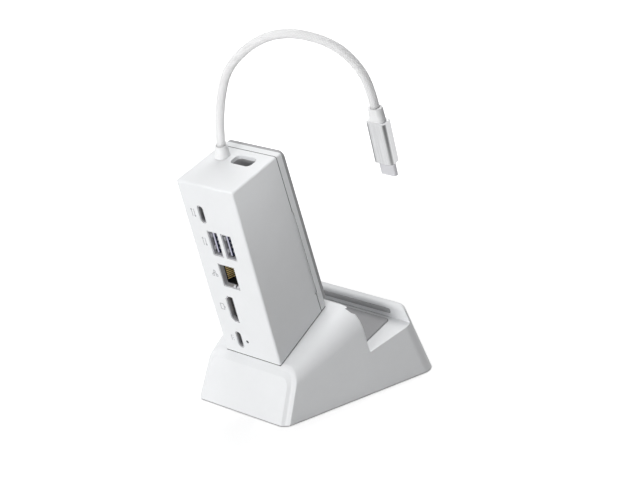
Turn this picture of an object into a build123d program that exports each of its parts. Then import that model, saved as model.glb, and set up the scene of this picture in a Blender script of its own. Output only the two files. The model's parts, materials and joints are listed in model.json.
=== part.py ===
from build123d import *
import os
from math import cos, hypot, radians, sin, tan

# Handheld console dock: a weighted wedge foot with a ledge for the console, a leaning hub block with its
# ports on the narrow front face, and a short captive lead that ends in a plug.
# Millimetres, +Z up, ports towards -Y, console on the +Y side, origin under the middle of the dock.

# Lean of the hub and of the console behind it, in degrees from upright
LEAN = 13.5

# Hub block, in its own frame: x across, y from the port face to the back, z along the block
HUB_WIDTH = 33.2
HUB_HEIGHT = 93.8
SHELL_DEPTH = 30.4
SHELL_WALL = 1.8
SHELL_EDGE = 1.0
SEAM_GAP = 0.5
SEAT_SINK = 1.2
SEAT_INSET = 0.1
# The hub's back leans less than its front by this many degrees, so the hub is deeper at its foot
BACK_TAPER = 2.0
COVER_THICK = 3.3
COVER_RIM_THICK = 1.2
COVER_RIM_DEPTH = 2.5
RIM_FIT = 0.15
SEAM_LINE = 0.4
SEAM_DEPTH = 0.5
CUSHION_THICK = 2.2
CUSHION_CORNER = 3.0
CUSHION_EDGE = 0.4
CUSHION_LIFT = 1.2
GRIP_TOP = 29.8
GRIP_LENGTH = 46.0
GRIP_WIDTH = 0.9
GRIP_DEPTH = 0.6

# Tongue of the hub that plugs into the foot
TONGUE_WIDTH = 24.0
TONGUE_FRONT = 2.6
TONGUE_BACK_INSET = 1.4
TONGUE_DROP = 9.0
TONGUE_FLOOR = 2.0
TONGUE_FIT = 0.2
WELL_WALL = 2.0
WELL_FLOOR = 2.5

# Foot
BASE_DEPTH = 88.0
BASE_FRONT_WIDTH = 53.8
BASE_REAR_WIDTH = 101.8
BASE_WALL = 2.4
FLANK_DRAFT = 10.0
FRONT_LEAN = 23.7
FRONT_TOP = 22.4
FRONT_BAND = 2.4
FRONT_EASE = 1.0
SLOPE = 26.0
SEAT_SETBACK = 2.0
HUMP_BACK = 37.5
HUMP_LEAN = 4.5
FRONT_SHOULDER = 8.0
REAR_SHOULDER = 14.5
CREST_EDGE = 0.8
REAR_CORNER = 8.0
FOOT_STAND = 0.5

# Console cradle
LEDGE_DROP = 12.8
CONSOLE_ROOM = 23.8
LIP_RISE = 7.0
LIP_THICK = 5.0
LIP_EDGE = 1.8
PAD_WIDTH = 62.0
PAD_THICK = 1.6
PAD_PROUD = 0.8
PAD_MARGIN = 1.6
PAD_CORNER = 2.0
PAD_FIT = 0.1

# Bottom plate, rubber feet and steel weight
PLATE_THICK = 2.0
PLATE_GAP = 0.2
RUBBER_RADIUS = 4.5
RUBBER_SINK = 1.0
RUBBER_END = 9.5
RUBBER_SIDE = 13.4
WEIGHT_WIDTH = 52.0
WEIGHT_LENGTH = 36.0
WEIGHT_THICK = 4.0
WEIGHT_START = 29.0

# Screws
SCREW_FIT = 0.05
PLATE_SCREW_RADIUS = 1.1
PLATE_SCREW_LENGTH = 7.0
PLATE_HEAD_RADIUS = 2.3
PLATE_HEAD_HEIGHT = 1.2
PLATE_BOSS_RADIUS = 3.0
PLATE_FRONT_SCREW = 8.0
PLATE_REAR_SCREW = 10.0
PLATE_SCREW_SIDE = 27.1
HUB_SCREW_RADIUS = 1.3
HUB_SCREW_LENGTH = 8.0
HUB_HEAD_RADIUS = 2.4
HUB_HEAD_HEIGHT = 1.6
HUB_BOSS_RADIUS = 2.8
HUB_SCREW_X = 7.5
HUB_SCREW_INSET = 8.0
BOARD_SCREW_RADIUS = 0.9
BOARD_SCREW_LENGTH = 6.0
BOARD_HEAD_RADIUS = 1.8
BOARD_HEAD_HEIGHT = 1.2
BOARD_POST_RADIUS = 2.2

# Circuit board, with its parts on the back
BOARD_FRONT = 14.0
BOARD_THICK = 1.6
BOARD_EDGE_GAP = 0.5
BOARD_TAB_FOOT = 1.5
BOARD_TAB_GAP = 0.6
BOARD_SHOULDER = 10.5
BOARD_SCREW_INSET = 3.2
BOARD_PART_EDGE = 0.2

# Ports: their rows run down the front, from a margin under the hub's top to a margin above its foot,
# and the room that is left between them is shared out
PORT_TOP = 11.4
PORT_FOOT = 4.5
ROW_SHARES = (4.0, 4.6, 5.8, 6.1)
PORT_GAP = 0.15
PORT_SINK = 0.15
PORT_SHELL = 0.35
INSERT_FIT = 0.05
USB_C_WIDTH = 3.3
USB_C_LENGTH = 9.0
USB_C_POCKET = 6.5
USB_C_BLADE = 0.75
USB_C_BLADE_LENGTH = 6.7
USB_A_WIDTH = 5.9
USB_A_LENGTH = 13.0
USB_A_POCKET = 9.5
USB_A_BLADE = 1.1
USB_A_BLADE_LENGTH = 11.0
USB_A_BLADE_SHIFT = -0.75
HDMI_WIDTH = 4.5
HDMI_LENGTH = 14.2
HDMI_TAPER = 1.7
HDMI_POCKET = 8.0
HDMI_BLADE = 1.2
HDMI_BLADE_LENGTH = 10.6
BLADE_SINK = 1.3
NET_WIDTH = 9.6
NET_LENGTH = 12.2
NET_SHIELD = 0.3
NET_WALL = 0.45
NET_POCKET = 11.0
NET_RECESS = 2.4
NET_LATCH_DEPTH = 2.4
NET_LATCH_LENGTH = 6.2
NET_CATCH_DEPTH = 1.1
NET_CATCH_LENGTH = 3.6
NET_PINS = 8
NET_PIN_PITCH = 1.02
NET_PIN = 0.4
NET_PIN_START = 2.8
NET_PIN_RISE = 2.4
NET_PIN_BEND = 6.6
LIGHT_RADIUS = 0.75
DATA_C_X = -6.1
USB_A_LEFT_X = -3.0
USB_A_RIGHT_X = 5.0
NET_X = -0.4
HDMI_X = -4.45
POWER_C_X = -5.5
LIGHT_X = -0.8

# Parking slot for the plug, in the hub's top
PARK_PLACE = (4.0, 22.9)
PARK_WIDTH = 11.8
PARK_DEPTH = 6.8
PARK_CORNER = 2.4
PARK_WALL = 1.0
PARK_REACH = 11.0

# Captive lead
LEAD_PLACE = (-8.5, 23.0)
LEAD_DIAMETER = 4.1
LEAD_BEARING = 17.4
BORE_FIT = 0.1
COLLAR_RADIUS = 3.5
COLLAR_TIP_RADIUS = 2.7
COLLAR_HEIGHT = 5.8
COLLAR_LIP = 0.6
NECK_RADIUS = 2.9
NECK_FIT = 0.1
FLANGE_RADIUS = 4.2
FLANGE_THICK = 1.5
TAIL_LENGTH = 9.0
HEADER_WIDTH = 7.0
HEADER_LENGTH = 8.0
# The lead's route: along its bearing and above the hub's top, as it stands
LEAD_ROUTE = [
    (0.0, 0.5), (1.6, 11.7), (6.8, 29.2), (14.3, 44.7), (30.8, 57.2),
    (47.3, 60.7), (64.8, 55.0), (73.6, 44.9), (77.2, 33.4), (77.2, 21.6),
]

# Plug, hanging straight down from the lead's end
BOOT_WIDTH = 7.4
BOOT_DEPTH = 4.9
BOOT_TIP_WIDTH = 6.6
BOOT_TIP_DEPTH = 4.8
BOOT_CORNER = 2.3
BOOT_LIP = 0.6
BOOT_LENGTH = 6.2
BOOT_BORE = 3.0
BOOT_NECK_RADIUS = 2.1
SLEEVE_WIDTH = 10.2
SLEEVE_DEPTH = 5.9
SLEEVE_CORNER = 1.9
SLEEVE_LENGTH = 20.0
SLEEVE_WALL = 0.6
SLEEVE_EDGE = 0.5
TIP_WIDTH = 8.3
TIP_DEPTH = 2.5
TIP_LENGTH = 6.6
TIP_WALL = 0.3
TIP_ROOT = 2.0
TIP_SLOT = 0.9
TIP_SLOT_DEPTH = 5.0
TIP_SLOT_WIDTH = 6.6

# Share of a run that a bend of the lead may take up
BEND_SHARE = 0.45

# How far a cutting block runs past the face it opens, and how close counts as on a plane
PAST = 20.0
TOUCH = 0.01
UPRIGHT = 90.0

# Values that follow from the sizes above
HUB_DEPTH = SHELL_DEPTH + COVER_THICK
FOOT_DEPTH = HUB_DEPTH + HUB_HEIGHT * tan(radians(BACK_TAPER))
REST_PLANE = FOOT_DEPTH + CUSHION_THICK
LIP_PLANE = REST_PLANE + CONSOLE_ROOM
SEAT_ANGLE = SLOPE - LEAN
FLARE = (BASE_REAR_WIDTH - BASE_FRONT_WIDTH) / (2.0 * BASE_DEPTH)
DRAFT = tan(radians(FLANK_DRAFT))
FLANK_SLANT = hypot(1.0, hypot(FLARE, DRAFT))
SEAT_RUN = FRONT_TOP * tan(radians(FRONT_LEAN)) + SEAT_SETBACK
HUB_REACH = (HUB_HEIGHT - SHELL_EDGE) * sin(radians(LEAN)) + SHELL_EDGE * (1.0 - cos(radians(LEAN)))
FRONT_Y = -(SEAT_RUN - HUB_REACH + BASE_DEPTH) / 2.0
REAR_Y = FRONT_Y + BASE_DEPTH
SEAT_Y = FRONT_Y + SEAT_RUN
SEAT_Z = FRONT_TOP + SEAT_SETBACK * tan(radians(SLOPE))
HUB_PLACE = Location((0, SEAT_Y, SEAT_Z), (LEAN, 0, 0))
BACK_PLACE = Location((0, HUB_DEPTH, HUB_HEIGHT), (BACK_TAPER, 0, 0))
CAVITY_HALF = HUB_WIDTH / 2.0 - SHELL_WALL
PLATE_TOP = FOOT_STAND + PLATE_THICK
TONGUE_BACK = SHELL_DEPTH - TONGUE_BACK_INSET
HUB_SCREW_Y = TONGUE_BACK - HUB_SCREW_INSET
ROW_LENGTHS = (USB_C_LENGTH, USB_A_LENGTH, NET_LENGTH, HDMI_LENGTH, USB_C_LENGTH)
DATA_ROW, USB_A_ROW, NET_ROW, HDMI_ROW, POWER_ROW = range(len(ROW_LENGTHS))


def block(xs, ys, zs):
    """Box between two values on each axis."""
    low = Vector(xs[0], ys[0], zs[0])
    high = Vector(xs[1], ys[1], zs[1])
    size = high - low
    middle = (low + high) * 0.5
    return Pos(middle.X, middle.Y, middle.Z) * Box(size.X, size.Y, size.Z)


def along_y(outline, start, end):
    """Outline drawn across and along the hub (x, z), carried from one depth to another."""
    return extrude(Plane.XZ.offset(-start) * outline, amount=start - end)


def along_z(outline, start, end):
    """Outline drawn in x and y, carried from one height to another."""
    return extrude(Plane.XY.offset(start) * outline, amount=end - start)


def pin_y(x, z, radius, start, end):
    """Round pin that runs from the front of the hub towards its back."""
    return along_y(Pos(x, z) * Circle(radius), start, end)


def pin_z(x, y, radius, start, end):
    """Round pin that runs upwards."""
    return along_z(Pos(x, y) * Circle(radius), start, end)


def edges_on(body, *planes):
    """Edges of a body that lie in every one of the planes."""
    def lies_on(edge):
        points = [edge @ 0.0, edge @ 0.5, edge @ 1.0]
        return all(abs(plane.to_local_coords(point).Z) < TOUCH for plane in planes for point in points)
    return body.edges().filter_by(lies_on)


def row_height(row):
    """Height along the hub of the middle of a row of ports, counted from the top."""
    room = HUB_HEIGHT - PORT_TOP - PORT_FOOT - sum(ROW_LENGTHS)
    above = sum(ROW_LENGTHS[:row]) + room * sum(ROW_SHARES[:row]) / sum(ROW_SHARES)
    return HUB_HEIGHT - PORT_TOP - above - ROW_LENGTHS[row] / 2.0


# Foot: its side view is a chain of straight lines, each a point and a direction with the inside to the right

def from_hub(y, z):
    """Place in the dock's side view (y, z) of a point given in the hub's frame."""
    turned_y = y * cos(radians(LEAN)) - z * sin(radians(LEAN))
    turned_z = y * sin(radians(LEAN)) + z * cos(radians(LEAN))
    return Vector(SEAT_Y + turned_y, SEAT_Z + turned_z)


def heading(angle):
    """Direction in the side view, in degrees up from straight back."""
    return Vector(cos(radians(angle)), sin(radians(angle)))


def side_lines(inset):
    """Lines of the foot's side view, moved in by a wall: front, slope, hump back, ledge, lip and rear."""
    lip_top = from_hub(LIP_PLANE + LIP_THICK, LIP_RISE - LEDGE_DROP)
    rear_foot = Vector(REAR_Y, 0)
    lines = {
        "front": (Vector(FRONT_Y, 0), heading(UPRIGHT - FRONT_LEAN)),
        "slope": (Vector(SEAT_Y, SEAT_Z), heading(SLOPE)),
        "hump_back": (from_hub(HUMP_BACK, -LEDGE_DROP), heading(HUMP_LEAN - UPRIGHT)),
        "ledge": (from_hub(HUMP_BACK, -LEDGE_DROP), heading(LEAN)),
        "lip_face": (from_hub(LIP_PLANE, -LEDGE_DROP), heading(LEAN + UPRIGHT)),
        "lip_top": (lip_top, heading(LEAN)),
        "rear": (lip_top, (rear_foot - lip_top).normalized()),
    }
    return {
        name: (point + Vector(way.Y, -way.X) * inset, way)
        for name, (point, way) in lines.items()
    }


def meet(first, second):
    """Point where two lines of the side view cross."""
    (start, way), (other, other_way) = first, second
    spread = other - start
    share = (spread.X * other_way.Y - spread.Y * other_way.X) / (way.X * other_way.Y - way.Y * other_way.X)
    return start + way * share


def side_plane(line):
    """Upright plane through a line of the side view, facing out of the foot."""
    point, way = line
    return Plane(origin=(0, point.X, point.Y), x_dir=(1, 0, 0), z_dir=(0, -way.Y, way.X))


def flank_plane(side, inset):
    """Drafted and flared side of the foot, facing out."""
    reach = BASE_FRONT_WIDTH / 2.0 - inset * FLANK_SLANT
    return Plane(origin=(side * reach, FRONT_Y, 0), z_dir=(side, -FLARE, DRAFT))


def half_width(y, z):
    """Half of the foot's width at a place along it and a height."""
    return BASE_FRONT_WIDTH / 2.0 + FLARE * (y - FRONT_Y) - DRAFT * z


def shoulder_form(inset):
    """Long tunnel under the slope and between the flanks, whose rounded shoulders widen towards the rear."""
    outer = side_lines(0.0)
    crest_run = (meet(outer["slope"], outer["hump_back"]) - outer["slope"][0]).length
    growth = (REAR_SHOULDER - FRONT_SHOULDER) / crest_run
    start, way = side_lines(inset)["slope"]
    down = Vector(way.Y, -way.X)
    sections = []
    for run in (-FRONT_TOP - SEAT_SETBACK, BASE_DEPTH):
        radius = FRONT_SHOULDER + growth * run - inset
        top = start + way * run
        bottom = top + down * BASE_DEPTH
        wide, wider = [half_width(end.X, end.Y) - inset * FLANK_SLANT for end in (top, bottom)]
        corners = [(-wide, 0), (wide, 0), (wider, BASE_DEPTH), (-wider, BASE_DEPTH)]
        outline = make_face(Polyline(*corners, close=True))
        outline = fillet(outline.vertices().group_by(Axis.Y)[0], radius)
        place = Plane(origin=(0, top.X, top.Y), x_dir=(1, 0, 0), z_dir=(0, way.X, way.Y))
        sections.append(place * outline)
    return loft(sections, ruled=True)


def foot_form(inset, floor, with_lip):
    """Wedge of the foot, or the same form moved in by a wall, with its large edges rounded."""
    lines = side_lines(inset)
    names = list(lines) if with_lip else ["front", "slope", "hump_back", "ledge", "rear"]
    chain = [lines[name] for name in names]
    ground = (Vector(FRONT_Y, floor), Vector(1, 0))
    corners = [meet(a, b) for a, b in zip([ground] + chain, chain + [ground])]
    outline = make_face(Polyline(*[(corner.X, corner.Y) for corner in corners], close=True))
    body = extrude(Plane.YZ * outline, amount=BASE_REAR_WIDTH, both=True)
    flanks = [flank_plane(side, inset) for side in (-1, 1)]
    for flank in flanks:
        body = split(body, bisect_by=flank, keep=Keep.BOTTOM)
    rear = side_plane(lines["rear"])
    body = fillet([edge for flank in flanks for edge in edges_on(body, rear, flank)], REAR_CORNER - inset)
    return body & shoulder_form(inset)


def bevel_front(body):
    """Bevelled band round the foot's front face, with its outer edge eased."""
    front = side_plane(side_lines(0.0)["front"])
    floor = Plane.XY.offset(FOOT_STAND)
    body = chamfer(edges_on(body, front) - edges_on(body, front, floor), FRONT_BAND)
    inner = edges_on(body, front) - edges_on(body, front, floor)
    beside = [face for face in body.faces() if any(edge in face.edges() for edge in inner)]
    bevels = [face for face in beside if abs(front.to_local_coords(face.center()).Z) > TOUCH]
    borders = [edge for face in bevels for edge in face.edges()]
    done = inner + edges_on(body, floor)
    return fillet([edge for edge in borders if borders.count(edge) == 1 and edge not in done], FRONT_EASE)


def round_foot(body):
    """Edges of the foot's outside: the band round the front face, the crest and the lip."""
    planes = {name: side_plane(line) for name, line in side_lines(0.0).items()}
    body = bevel_front(body)
    crest = edges_on(body, planes["hump_back"])
    body = fillet(crest - edges_on(body, planes["hump_back"], planes["ledge"]), CREST_EDGE)
    return fillet(edges_on(body, planes["lip_top"]), LIP_EDGE)


def seat_plane(lift):
    """Slanted foot of the hub, in its own frame, facing up and raised by a gap or a floor."""
    angle = radians(SEAT_ANGLE)
    normal = Vector(0, -sin(angle), cos(angle))
    return Plane(origin=normal * lift, x_dir=(1, 0, 0), z_dir=normal)


def above_seat(body, lift):
    """Part of a hub piece that stands above the slanted seat."""
    return split(body, bisect_by=seat_plane(lift), keep=Keep.TOP)


def hub_screw_places():
    """Places, across and back, of the screws that hold the hub in the foot."""
    return [(-HUB_SCREW_X, HUB_SCREW_Y), (HUB_SCREW_X, HUB_SCREW_Y)]


def plate_screw_places():
    """Places of the screws under the bottom plate: one in front, two behind."""
    rear = REAR_Y - PLATE_REAR_SCREW
    across = half_width(rear, 0.0) - PLATE_SCREW_SIDE
    return [(0.0, FRONT_Y + PLATE_FRONT_SCREW), (-across, rear), (across, rear)]


def rubber_places():
    """Names and places of the rubber feet."""
    places = {}
    for end, y in (("front", FRONT_Y + RUBBER_END), ("rear", REAR_Y - RUBBER_END)):
        across = half_width(y, 0.0) - RUBBER_SIDE
        places[end + "_left"] = (-across, y)
        places[end + "_right"] = (across, y)
    return places


def tongue_block(grow, bottom, top):
    """Rectangular block on the hub's tongue, larger or smaller all round."""
    half = TONGUE_WIDTH / 2.0 + grow
    return block((-half, half), (TONGUE_FRONT - grow, TONGUE_BACK + grow), (bottom, top))


def ledge_pad(fit, sink):
    """Soft strip let into the ledge that the console stands on, or the pocket it lies in."""
    middle = (HUMP_BACK + LIP_PLANE) / 2.0
    length = LIP_PLANE - HUMP_BACK - 2.0 * PAD_MARGIN
    outline = RectangleRounded(PAD_WIDTH + 2.0 * fit, length + 2.0 * fit, PAD_CORNER + fit)
    top = PAD_PROUD - LEDGE_DROP
    return HUB_PLACE * along_z(Pos(0, middle) * outline, top - PAD_THICK, top + sink)


def lip_pad(fit, sink):
    """Thin soft strip let into the lip's inner face, or the pocket it lies in."""
    low = PAD_PROUD + PAD_FIT + PAD_MARGIN - LEDGE_DROP
    high = LIP_RISE - LEDGE_DROP - LIP_EDGE
    outline = RectangleRounded(PAD_WIDTH + 2.0 * fit, high - low + 2.0 * fit, PAD_MARGIN / 2.0 + fit)
    face = LIP_PLANE - PAD_PROUD
    return HUB_PLACE * along_y(Pos(0, (low + high) / 2.0) * outline, face - sink, face + PAD_THICK)


def base_shell():
    """Moulded foot, hollow from below, with the well for the hub's tongue and the plate's screw bosses."""
    shell = round_foot(foot_form(0.0, FOOT_STAND, True)) - foot_form(BASE_WALL, -PAST, False)
    inner = foot_form(BASE_WALL / 2.0, -PAST, False)
    well_bottom = -TONGUE_DROP - WELL_FLOOR
    well = HUB_PLACE * tongue_block(TONGUE_FIT + WELL_WALL, well_bottom, PAST)
    shell += well & inner
    for x, y in plate_screw_places():
        shell += pin_z(x, y, PLATE_BOSS_RADIUS, PLATE_TOP, FRONT_TOP + PAST) & inner
    shell -= HUB_PLACE * tongue_block(TONGUE_FIT, -TONGUE_DROP, PAST)
    half = HUB_WIDTH / 2.0 - SEAT_INSET
    recess = block((-half, half), (SEAT_INSET, FOOT_DEPTH - SEAT_INSET), (-PAST, PAST))
    shell -= HUB_PLACE * above_seat(recess, -SEAT_SINK)
    for x, y in hub_screw_places():
        hole = pin_z(x, y, HUB_SCREW_RADIUS + TONGUE_FIT, well_bottom - PAST, PAST)
        shell -= HUB_PLACE * hole
    for x, y in plate_screw_places():
        shell -= pin_z(x, y, PLATE_SCREW_RADIUS + SCREW_FIT, 0.0, FOOT_STAND + PLATE_SCREW_LENGTH + SCREW_FIT)
    return shell - ledge_pad(PAD_FIT, PAST) - lip_pad(PAD_FIT, PAD_PROUD)


def base_bottom_plate():
    """Plate that closes the foot, with counterbored screw holes and sockets for the rubber feet."""
    slab = block((-BASE_REAR_WIDTH, BASE_REAR_WIDTH), (FRONT_Y, REAR_Y), (FOOT_STAND, PLATE_TOP))
    plate = foot_form(BASE_WALL + PLATE_GAP, 0.0, False) & slab
    for x, y in plate_screw_places():
        plate -= pin_z(x, y, PLATE_SCREW_RADIUS + TONGUE_FIT, 0.0, PLATE_TOP)
        plate -= pin_z(x, y, PLATE_HEAD_RADIUS + TONGUE_FIT, 0.0, FOOT_STAND + PLATE_HEAD_HEIGHT)
    for x, y in rubber_places().values():
        plate -= pin_z(x, y, RUBBER_RADIUS + PAD_FIT, 0.0, FOOT_STAND + RUBBER_SINK)
    return plate


def rubber_foot(x, y):
    """Round rubber foot with a bevelled lower edge."""
    foot = pin_z(x, y, RUBBER_RADIUS, 0.0, FOOT_STAND + RUBBER_SINK)
    return chamfer(foot.edges().group_by(Axis.Z)[0], FOOT_STAND / 2.0)


def base_weight():
    """Steel plate that lies on the bottom plate and keeps the dock from tipping."""
    start = FRONT_Y + WEIGHT_START
    half = WEIGHT_WIDTH / 2.0
    slab = block((-half, half), (start, start + WEIGHT_LENGTH), (PLATE_TOP, PLATE_TOP + WEIGHT_THICK))
    return chamfer(slab.edges().filter_by(Axis.Z), PAD_CORNER)


def screw(head_radius, head_height, radius, length):
    """Screw that stands on its head: the head's outer face lies at zero and the thread points up."""
    return pin_z(0, 0, head_radius, 0.0, head_height) + pin_z(0, 0, radius, 0.0, length)


def base_screws():
    """Screws of the bottom plate, sunk flush."""
    one = screw(PLATE_HEAD_RADIUS, PLATE_HEAD_HEIGHT, PLATE_SCREW_RADIUS, PLATE_SCREW_LENGTH)
    return [Pos(x, y, FOOT_STAND) * one for x, y in plate_screw_places()]


def hub_screws():
    """Screws that pull the hub's tongue down into its well."""
    one = screw(HUB_HEAD_RADIUS, HUB_HEAD_HEIGHT, HUB_SCREW_RADIUS, HUB_SCREW_LENGTH)
    under = -TONGUE_DROP - WELL_FLOOR - HUB_HEAD_HEIGHT
    return [HUB_PLACE * Pos(x, y, under) * one for x, y in hub_screw_places()]


# Ports: every outline is drawn on the hub's front, with x across and y up along the block

def slot_outline(width, length):
    """Upright slot with round ends."""
    return RectangleRounded(width, length, width / 2.0 - TOUCH)


def taper_outline(width, length, taper):
    """Video socket's outline: the corners on its left side are cut off, and all are eased."""
    half, reach = width / 2.0, length / 2.0
    points = [
        (half, -reach), (half, reach), (-half + taper, reach),
        (-half, reach - taper), (-half, -reach + taper), (-half + taper, -reach),
    ]
    outline = make_face(Polyline(*points, close=True))
    return fillet(outline.vertices(), PORT_SHELL)


def box_outline(width, length):
    """Upright rectangle with eased corners."""
    return RectangleRounded(width, length, PORT_SHELL)


PORT_OUTLINES = {
    "usb_c_data": (slot_outline, (USB_C_WIDTH, USB_C_LENGTH), (DATA_C_X, DATA_ROW)),
    "usb_a_left": (box_outline, (USB_A_WIDTH, USB_A_LENGTH), (USB_A_LEFT_X, USB_A_ROW)),
    "usb_a_right": (box_outline, (USB_A_WIDTH, USB_A_LENGTH), (USB_A_RIGHT_X, USB_A_ROW)),
    "ethernet": (box_outline, (NET_WIDTH, NET_LENGTH), (NET_X, NET_ROW)),
    "hdmi": (taper_outline, (HDMI_WIDTH, HDMI_LENGTH), (HDMI_X, HDMI_ROW)),
    "usb_c_power": (slot_outline, (USB_C_WIDTH, USB_C_LENGTH), (POWER_C_X, POWER_ROW)),
}


def port_outline(name, grow):
    """Outline of a port at its place on the front, larger or smaller all round."""
    make, sizes, (across, row) = PORT_OUTLINES[name]
    sizes = [size + 2.0 * grow for size in sizes]
    if make is taper_outline:
        sizes.append(HDMI_TAPER + grow * (2.0 - 2.0 ** 0.5))
    return Pos(across, row_height(row)) * make(*sizes)


def port_shell(name, wall):
    """Folded metal shell of a port, open at both ends, from the front face back to the board."""
    tube = port_outline(name, 0.0) - port_outline(name, -wall)
    return along_y(tube, PORT_SINK, BOARD_FRONT)


def port_insert(name, pocket, blade_width, blade_length, blade_shift):
    """Moulded insert of a port: a block against the board and the blade that carries the contacts."""
    body = along_y(port_outline(name, -PORT_SHELL - INSERT_FIT), PORT_SINK + pocket, BOARD_FRONT)
    across, row = PORT_OUTLINES[name][2]
    outline = Pos(across + blade_shift, row_height(row)) * Rectangle(blade_width, blade_length)
    return body + along_y(outline, BLADE_SINK, BOARD_FRONT - BOARD_THICK)


def net_housing():
    """Moulded inside of the network port: a plug pocket with a stepped latch notch on its right."""
    body = along_y(port_outline("ethernet", -NET_SHIELD - INSERT_FIT), PORT_SINK + NET_RECESS, BOARD_FRONT)
    half = NET_WIDTH / 2.0 - NET_SHIELD - INSERT_FIT - NET_WALL
    reach = NET_LENGTH / 2.0 - NET_SHIELD - INSERT_FIT - NET_WALL
    step = half - NET_LATCH_DEPTH
    catch = half - NET_CATCH_DEPTH
    height = row_height(NET_ROW)
    steps = (
        (-half, step, reach),
        (step, catch, NET_LATCH_LENGTH / 2.0),
        (catch, half, NET_CATCH_LENGTH / 2.0),
    )
    for left, right, tall in steps:
        xs = (NET_X + left - TOUCH, NET_X + right)
        body -= block(xs, (0.0, NET_POCKET), (height - tall, height + tall))
    return body


def net_contacts():
    """Eight spring wires that slope into the network port's pocket from its left wall."""
    left = NET_X - NET_WIDTH / 2.0 + NET_SHIELD + INSERT_FIT + NET_WALL
    points = [
        (left, NET_PIN_START), (left + NET_PIN, NET_PIN_START), (left + NET_PIN_RISE, NET_PIN_BEND),
        (left + NET_PIN_RISE, NET_POCKET), (left + NET_PIN_RISE - NET_PIN, NET_POCKET),
        (left + NET_PIN_RISE - NET_PIN, NET_PIN_BEND),
    ]
    outline = make_face(Polyline(*points, close=True))
    first = row_height(NET_ROW) - (NET_PINS - 1) * NET_PIN_PITCH / 2.0
    starts = [first + index * NET_PIN_PITCH - NET_PIN / 2.0 for index in range(NET_PINS)]
    return [along_z(outline, start, start + NET_PIN) for start in starts]


def status_light():
    """Clear light pipe from the board to the front face."""
    return pin_y(LIGHT_X, row_height(POWER_ROW), LIGHT_RADIUS, PORT_SINK, BOARD_FRONT)


# Hub block

def board_screw_places():
    """Places, across and up, of the board's screws in its four corners."""
    across = CAVITY_HALF - BOARD_EDGE_GAP - BOARD_SCREW_INSET
    top = HUB_HEIGHT - SHELL_WALL - BOARD_EDGE_GAP - BOARD_SCREW_INSET
    bottom = BOARD_SHOULDER + BOARD_SCREW_INSET
    return [(x, z) for x in (-across, across) for z in (bottom, top)]


def park_outline(grow):
    """Outline of the parking slot in the hub's top."""
    sizes = (PARK_WIDTH + 2 * grow, PARK_DEPTH + 2 * grow)
    return Pos(*PARK_PLACE) * RectangleRounded(*sizes, PARK_CORNER + grow)


def back_block(half, depths, top):
    """Block across the hub between two depths counted from its back face, from below its foot to its top."""
    slab = BACK_PLACE * block((-half, half), depths, (-HUB_HEIGHT - PAST, PAST))
    return split(slab, bisect_by=Plane.XY.offset(top), keep=Keep.BOTTOM)


def seam_grooves():
    """Fine line along the seam between shell and cover, and a wider fingernail groove in it on each side."""
    half = HUB_WIDTH / 2.0
    depths = (-COVER_THICK - SEAM_LINE / 2.0, -COVER_THICK + SEAM_LINE / 2.0)
    line = back_block(half, depths, HUB_HEIGHT)
    grooves = [line - back_block(half - SEAM_DEPTH, depths, HUB_HEIGHT - SEAM_DEPTH)]
    middle = -GRIP_TOP - GRIP_LENGTH / 2.0
    outline = Pos(-COVER_THICK, middle) * SlotOverall(GRIP_LENGTH, 2.0 * GRIP_WIDTH, rotation=90)
    slot = BACK_PLACE * extrude(Plane.YZ * outline, amount=GRIP_DEPTH, both=True)
    return grooves + [Pos(side * half, 0, 0) * slot for side in (-1, 1)]


def hub_shell():
    """Front shell of the hub: five-sided, open at the back, with a hollow tongue that goes into the foot."""
    half = HUB_WIDTH / 2.0
    shell = block((-half, half), (0.0, FOOT_DEPTH + PAST), (-PAST, HUB_HEIGHT))
    front_edges = shell.edges().group_by(Axis.Y)[0]
    top_edges = shell.edges().group_by(Axis.Z)[-1].filter_by(Axis.Y)
    shell = above_seat(fillet(front_edges + top_edges, SHELL_EDGE), SEAM_GAP)
    shell -= back_block(HUB_WIDTH, (-COVER_THICK, 2.0 * PAST), HUB_HEIGHT + PAST)
    cavity_top = HUB_HEIGHT - SHELL_WALL
    cavity = block((-CAVITY_HALF, CAVITY_HALF), (SHELL_WALL, FOOT_DEPTH + PAST), (-PAST, cavity_top))
    floor = SEAM_GAP + SHELL_WALL
    tongue = tongue_block(0.0, -TONGUE_DROP, PAST)
    shell += split(tongue, bisect_by=seat_plane(floor), keep=Keep.BOTTOM)
    shell -= above_seat(cavity, floor)
    hollow_floor = TONGUE_FLOOR - TONGUE_DROP
    shell -= tongue_block(-SHELL_WALL, hollow_floor, PAST) & cavity
    for x, y in hub_screw_places():
        shell += pin_z(x, y, HUB_BOSS_RADIUS, -TONGUE_DROP, 0.0)
        depth = HUB_SCREW_LENGTH - WELL_FLOOR - HUB_HEAD_HEIGHT + SCREW_FIT
        shell -= pin_z(x, y, HUB_SCREW_RADIUS + SCREW_FIT, -TONGUE_DROP, depth - TONGUE_DROP)
    pilot = BOARD_FRONT - BOARD_SCREW_LENGTH
    for x, z in board_screw_places():
        shell += pin_y(x, z, BOARD_POST_RADIUS, SHELL_WALL, BOARD_FRONT)
        shell -= pin_y(x, z, BOARD_SCREW_RADIUS + SCREW_FIT, pilot, BOARD_FRONT)
    for name in PORT_OUTLINES:
        shell -= along_y(port_outline(name, PORT_GAP), -PAST, SHELL_WALL)
    shell -= pin_y(LIGHT_X, row_height(POWER_ROW), LIGHT_RADIUS + SCREW_FIT, -PAST, SHELL_WALL)
    shell -= along_z(park_outline(0.0), cavity_top, HUB_HEIGHT)
    shell -= pin_z(*LEAD_PLACE, NECK_RADIUS + NECK_FIT, cavity_top, HUB_HEIGHT)
    for groove in seam_grooves():
        shell -= groove
    return shell


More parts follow.
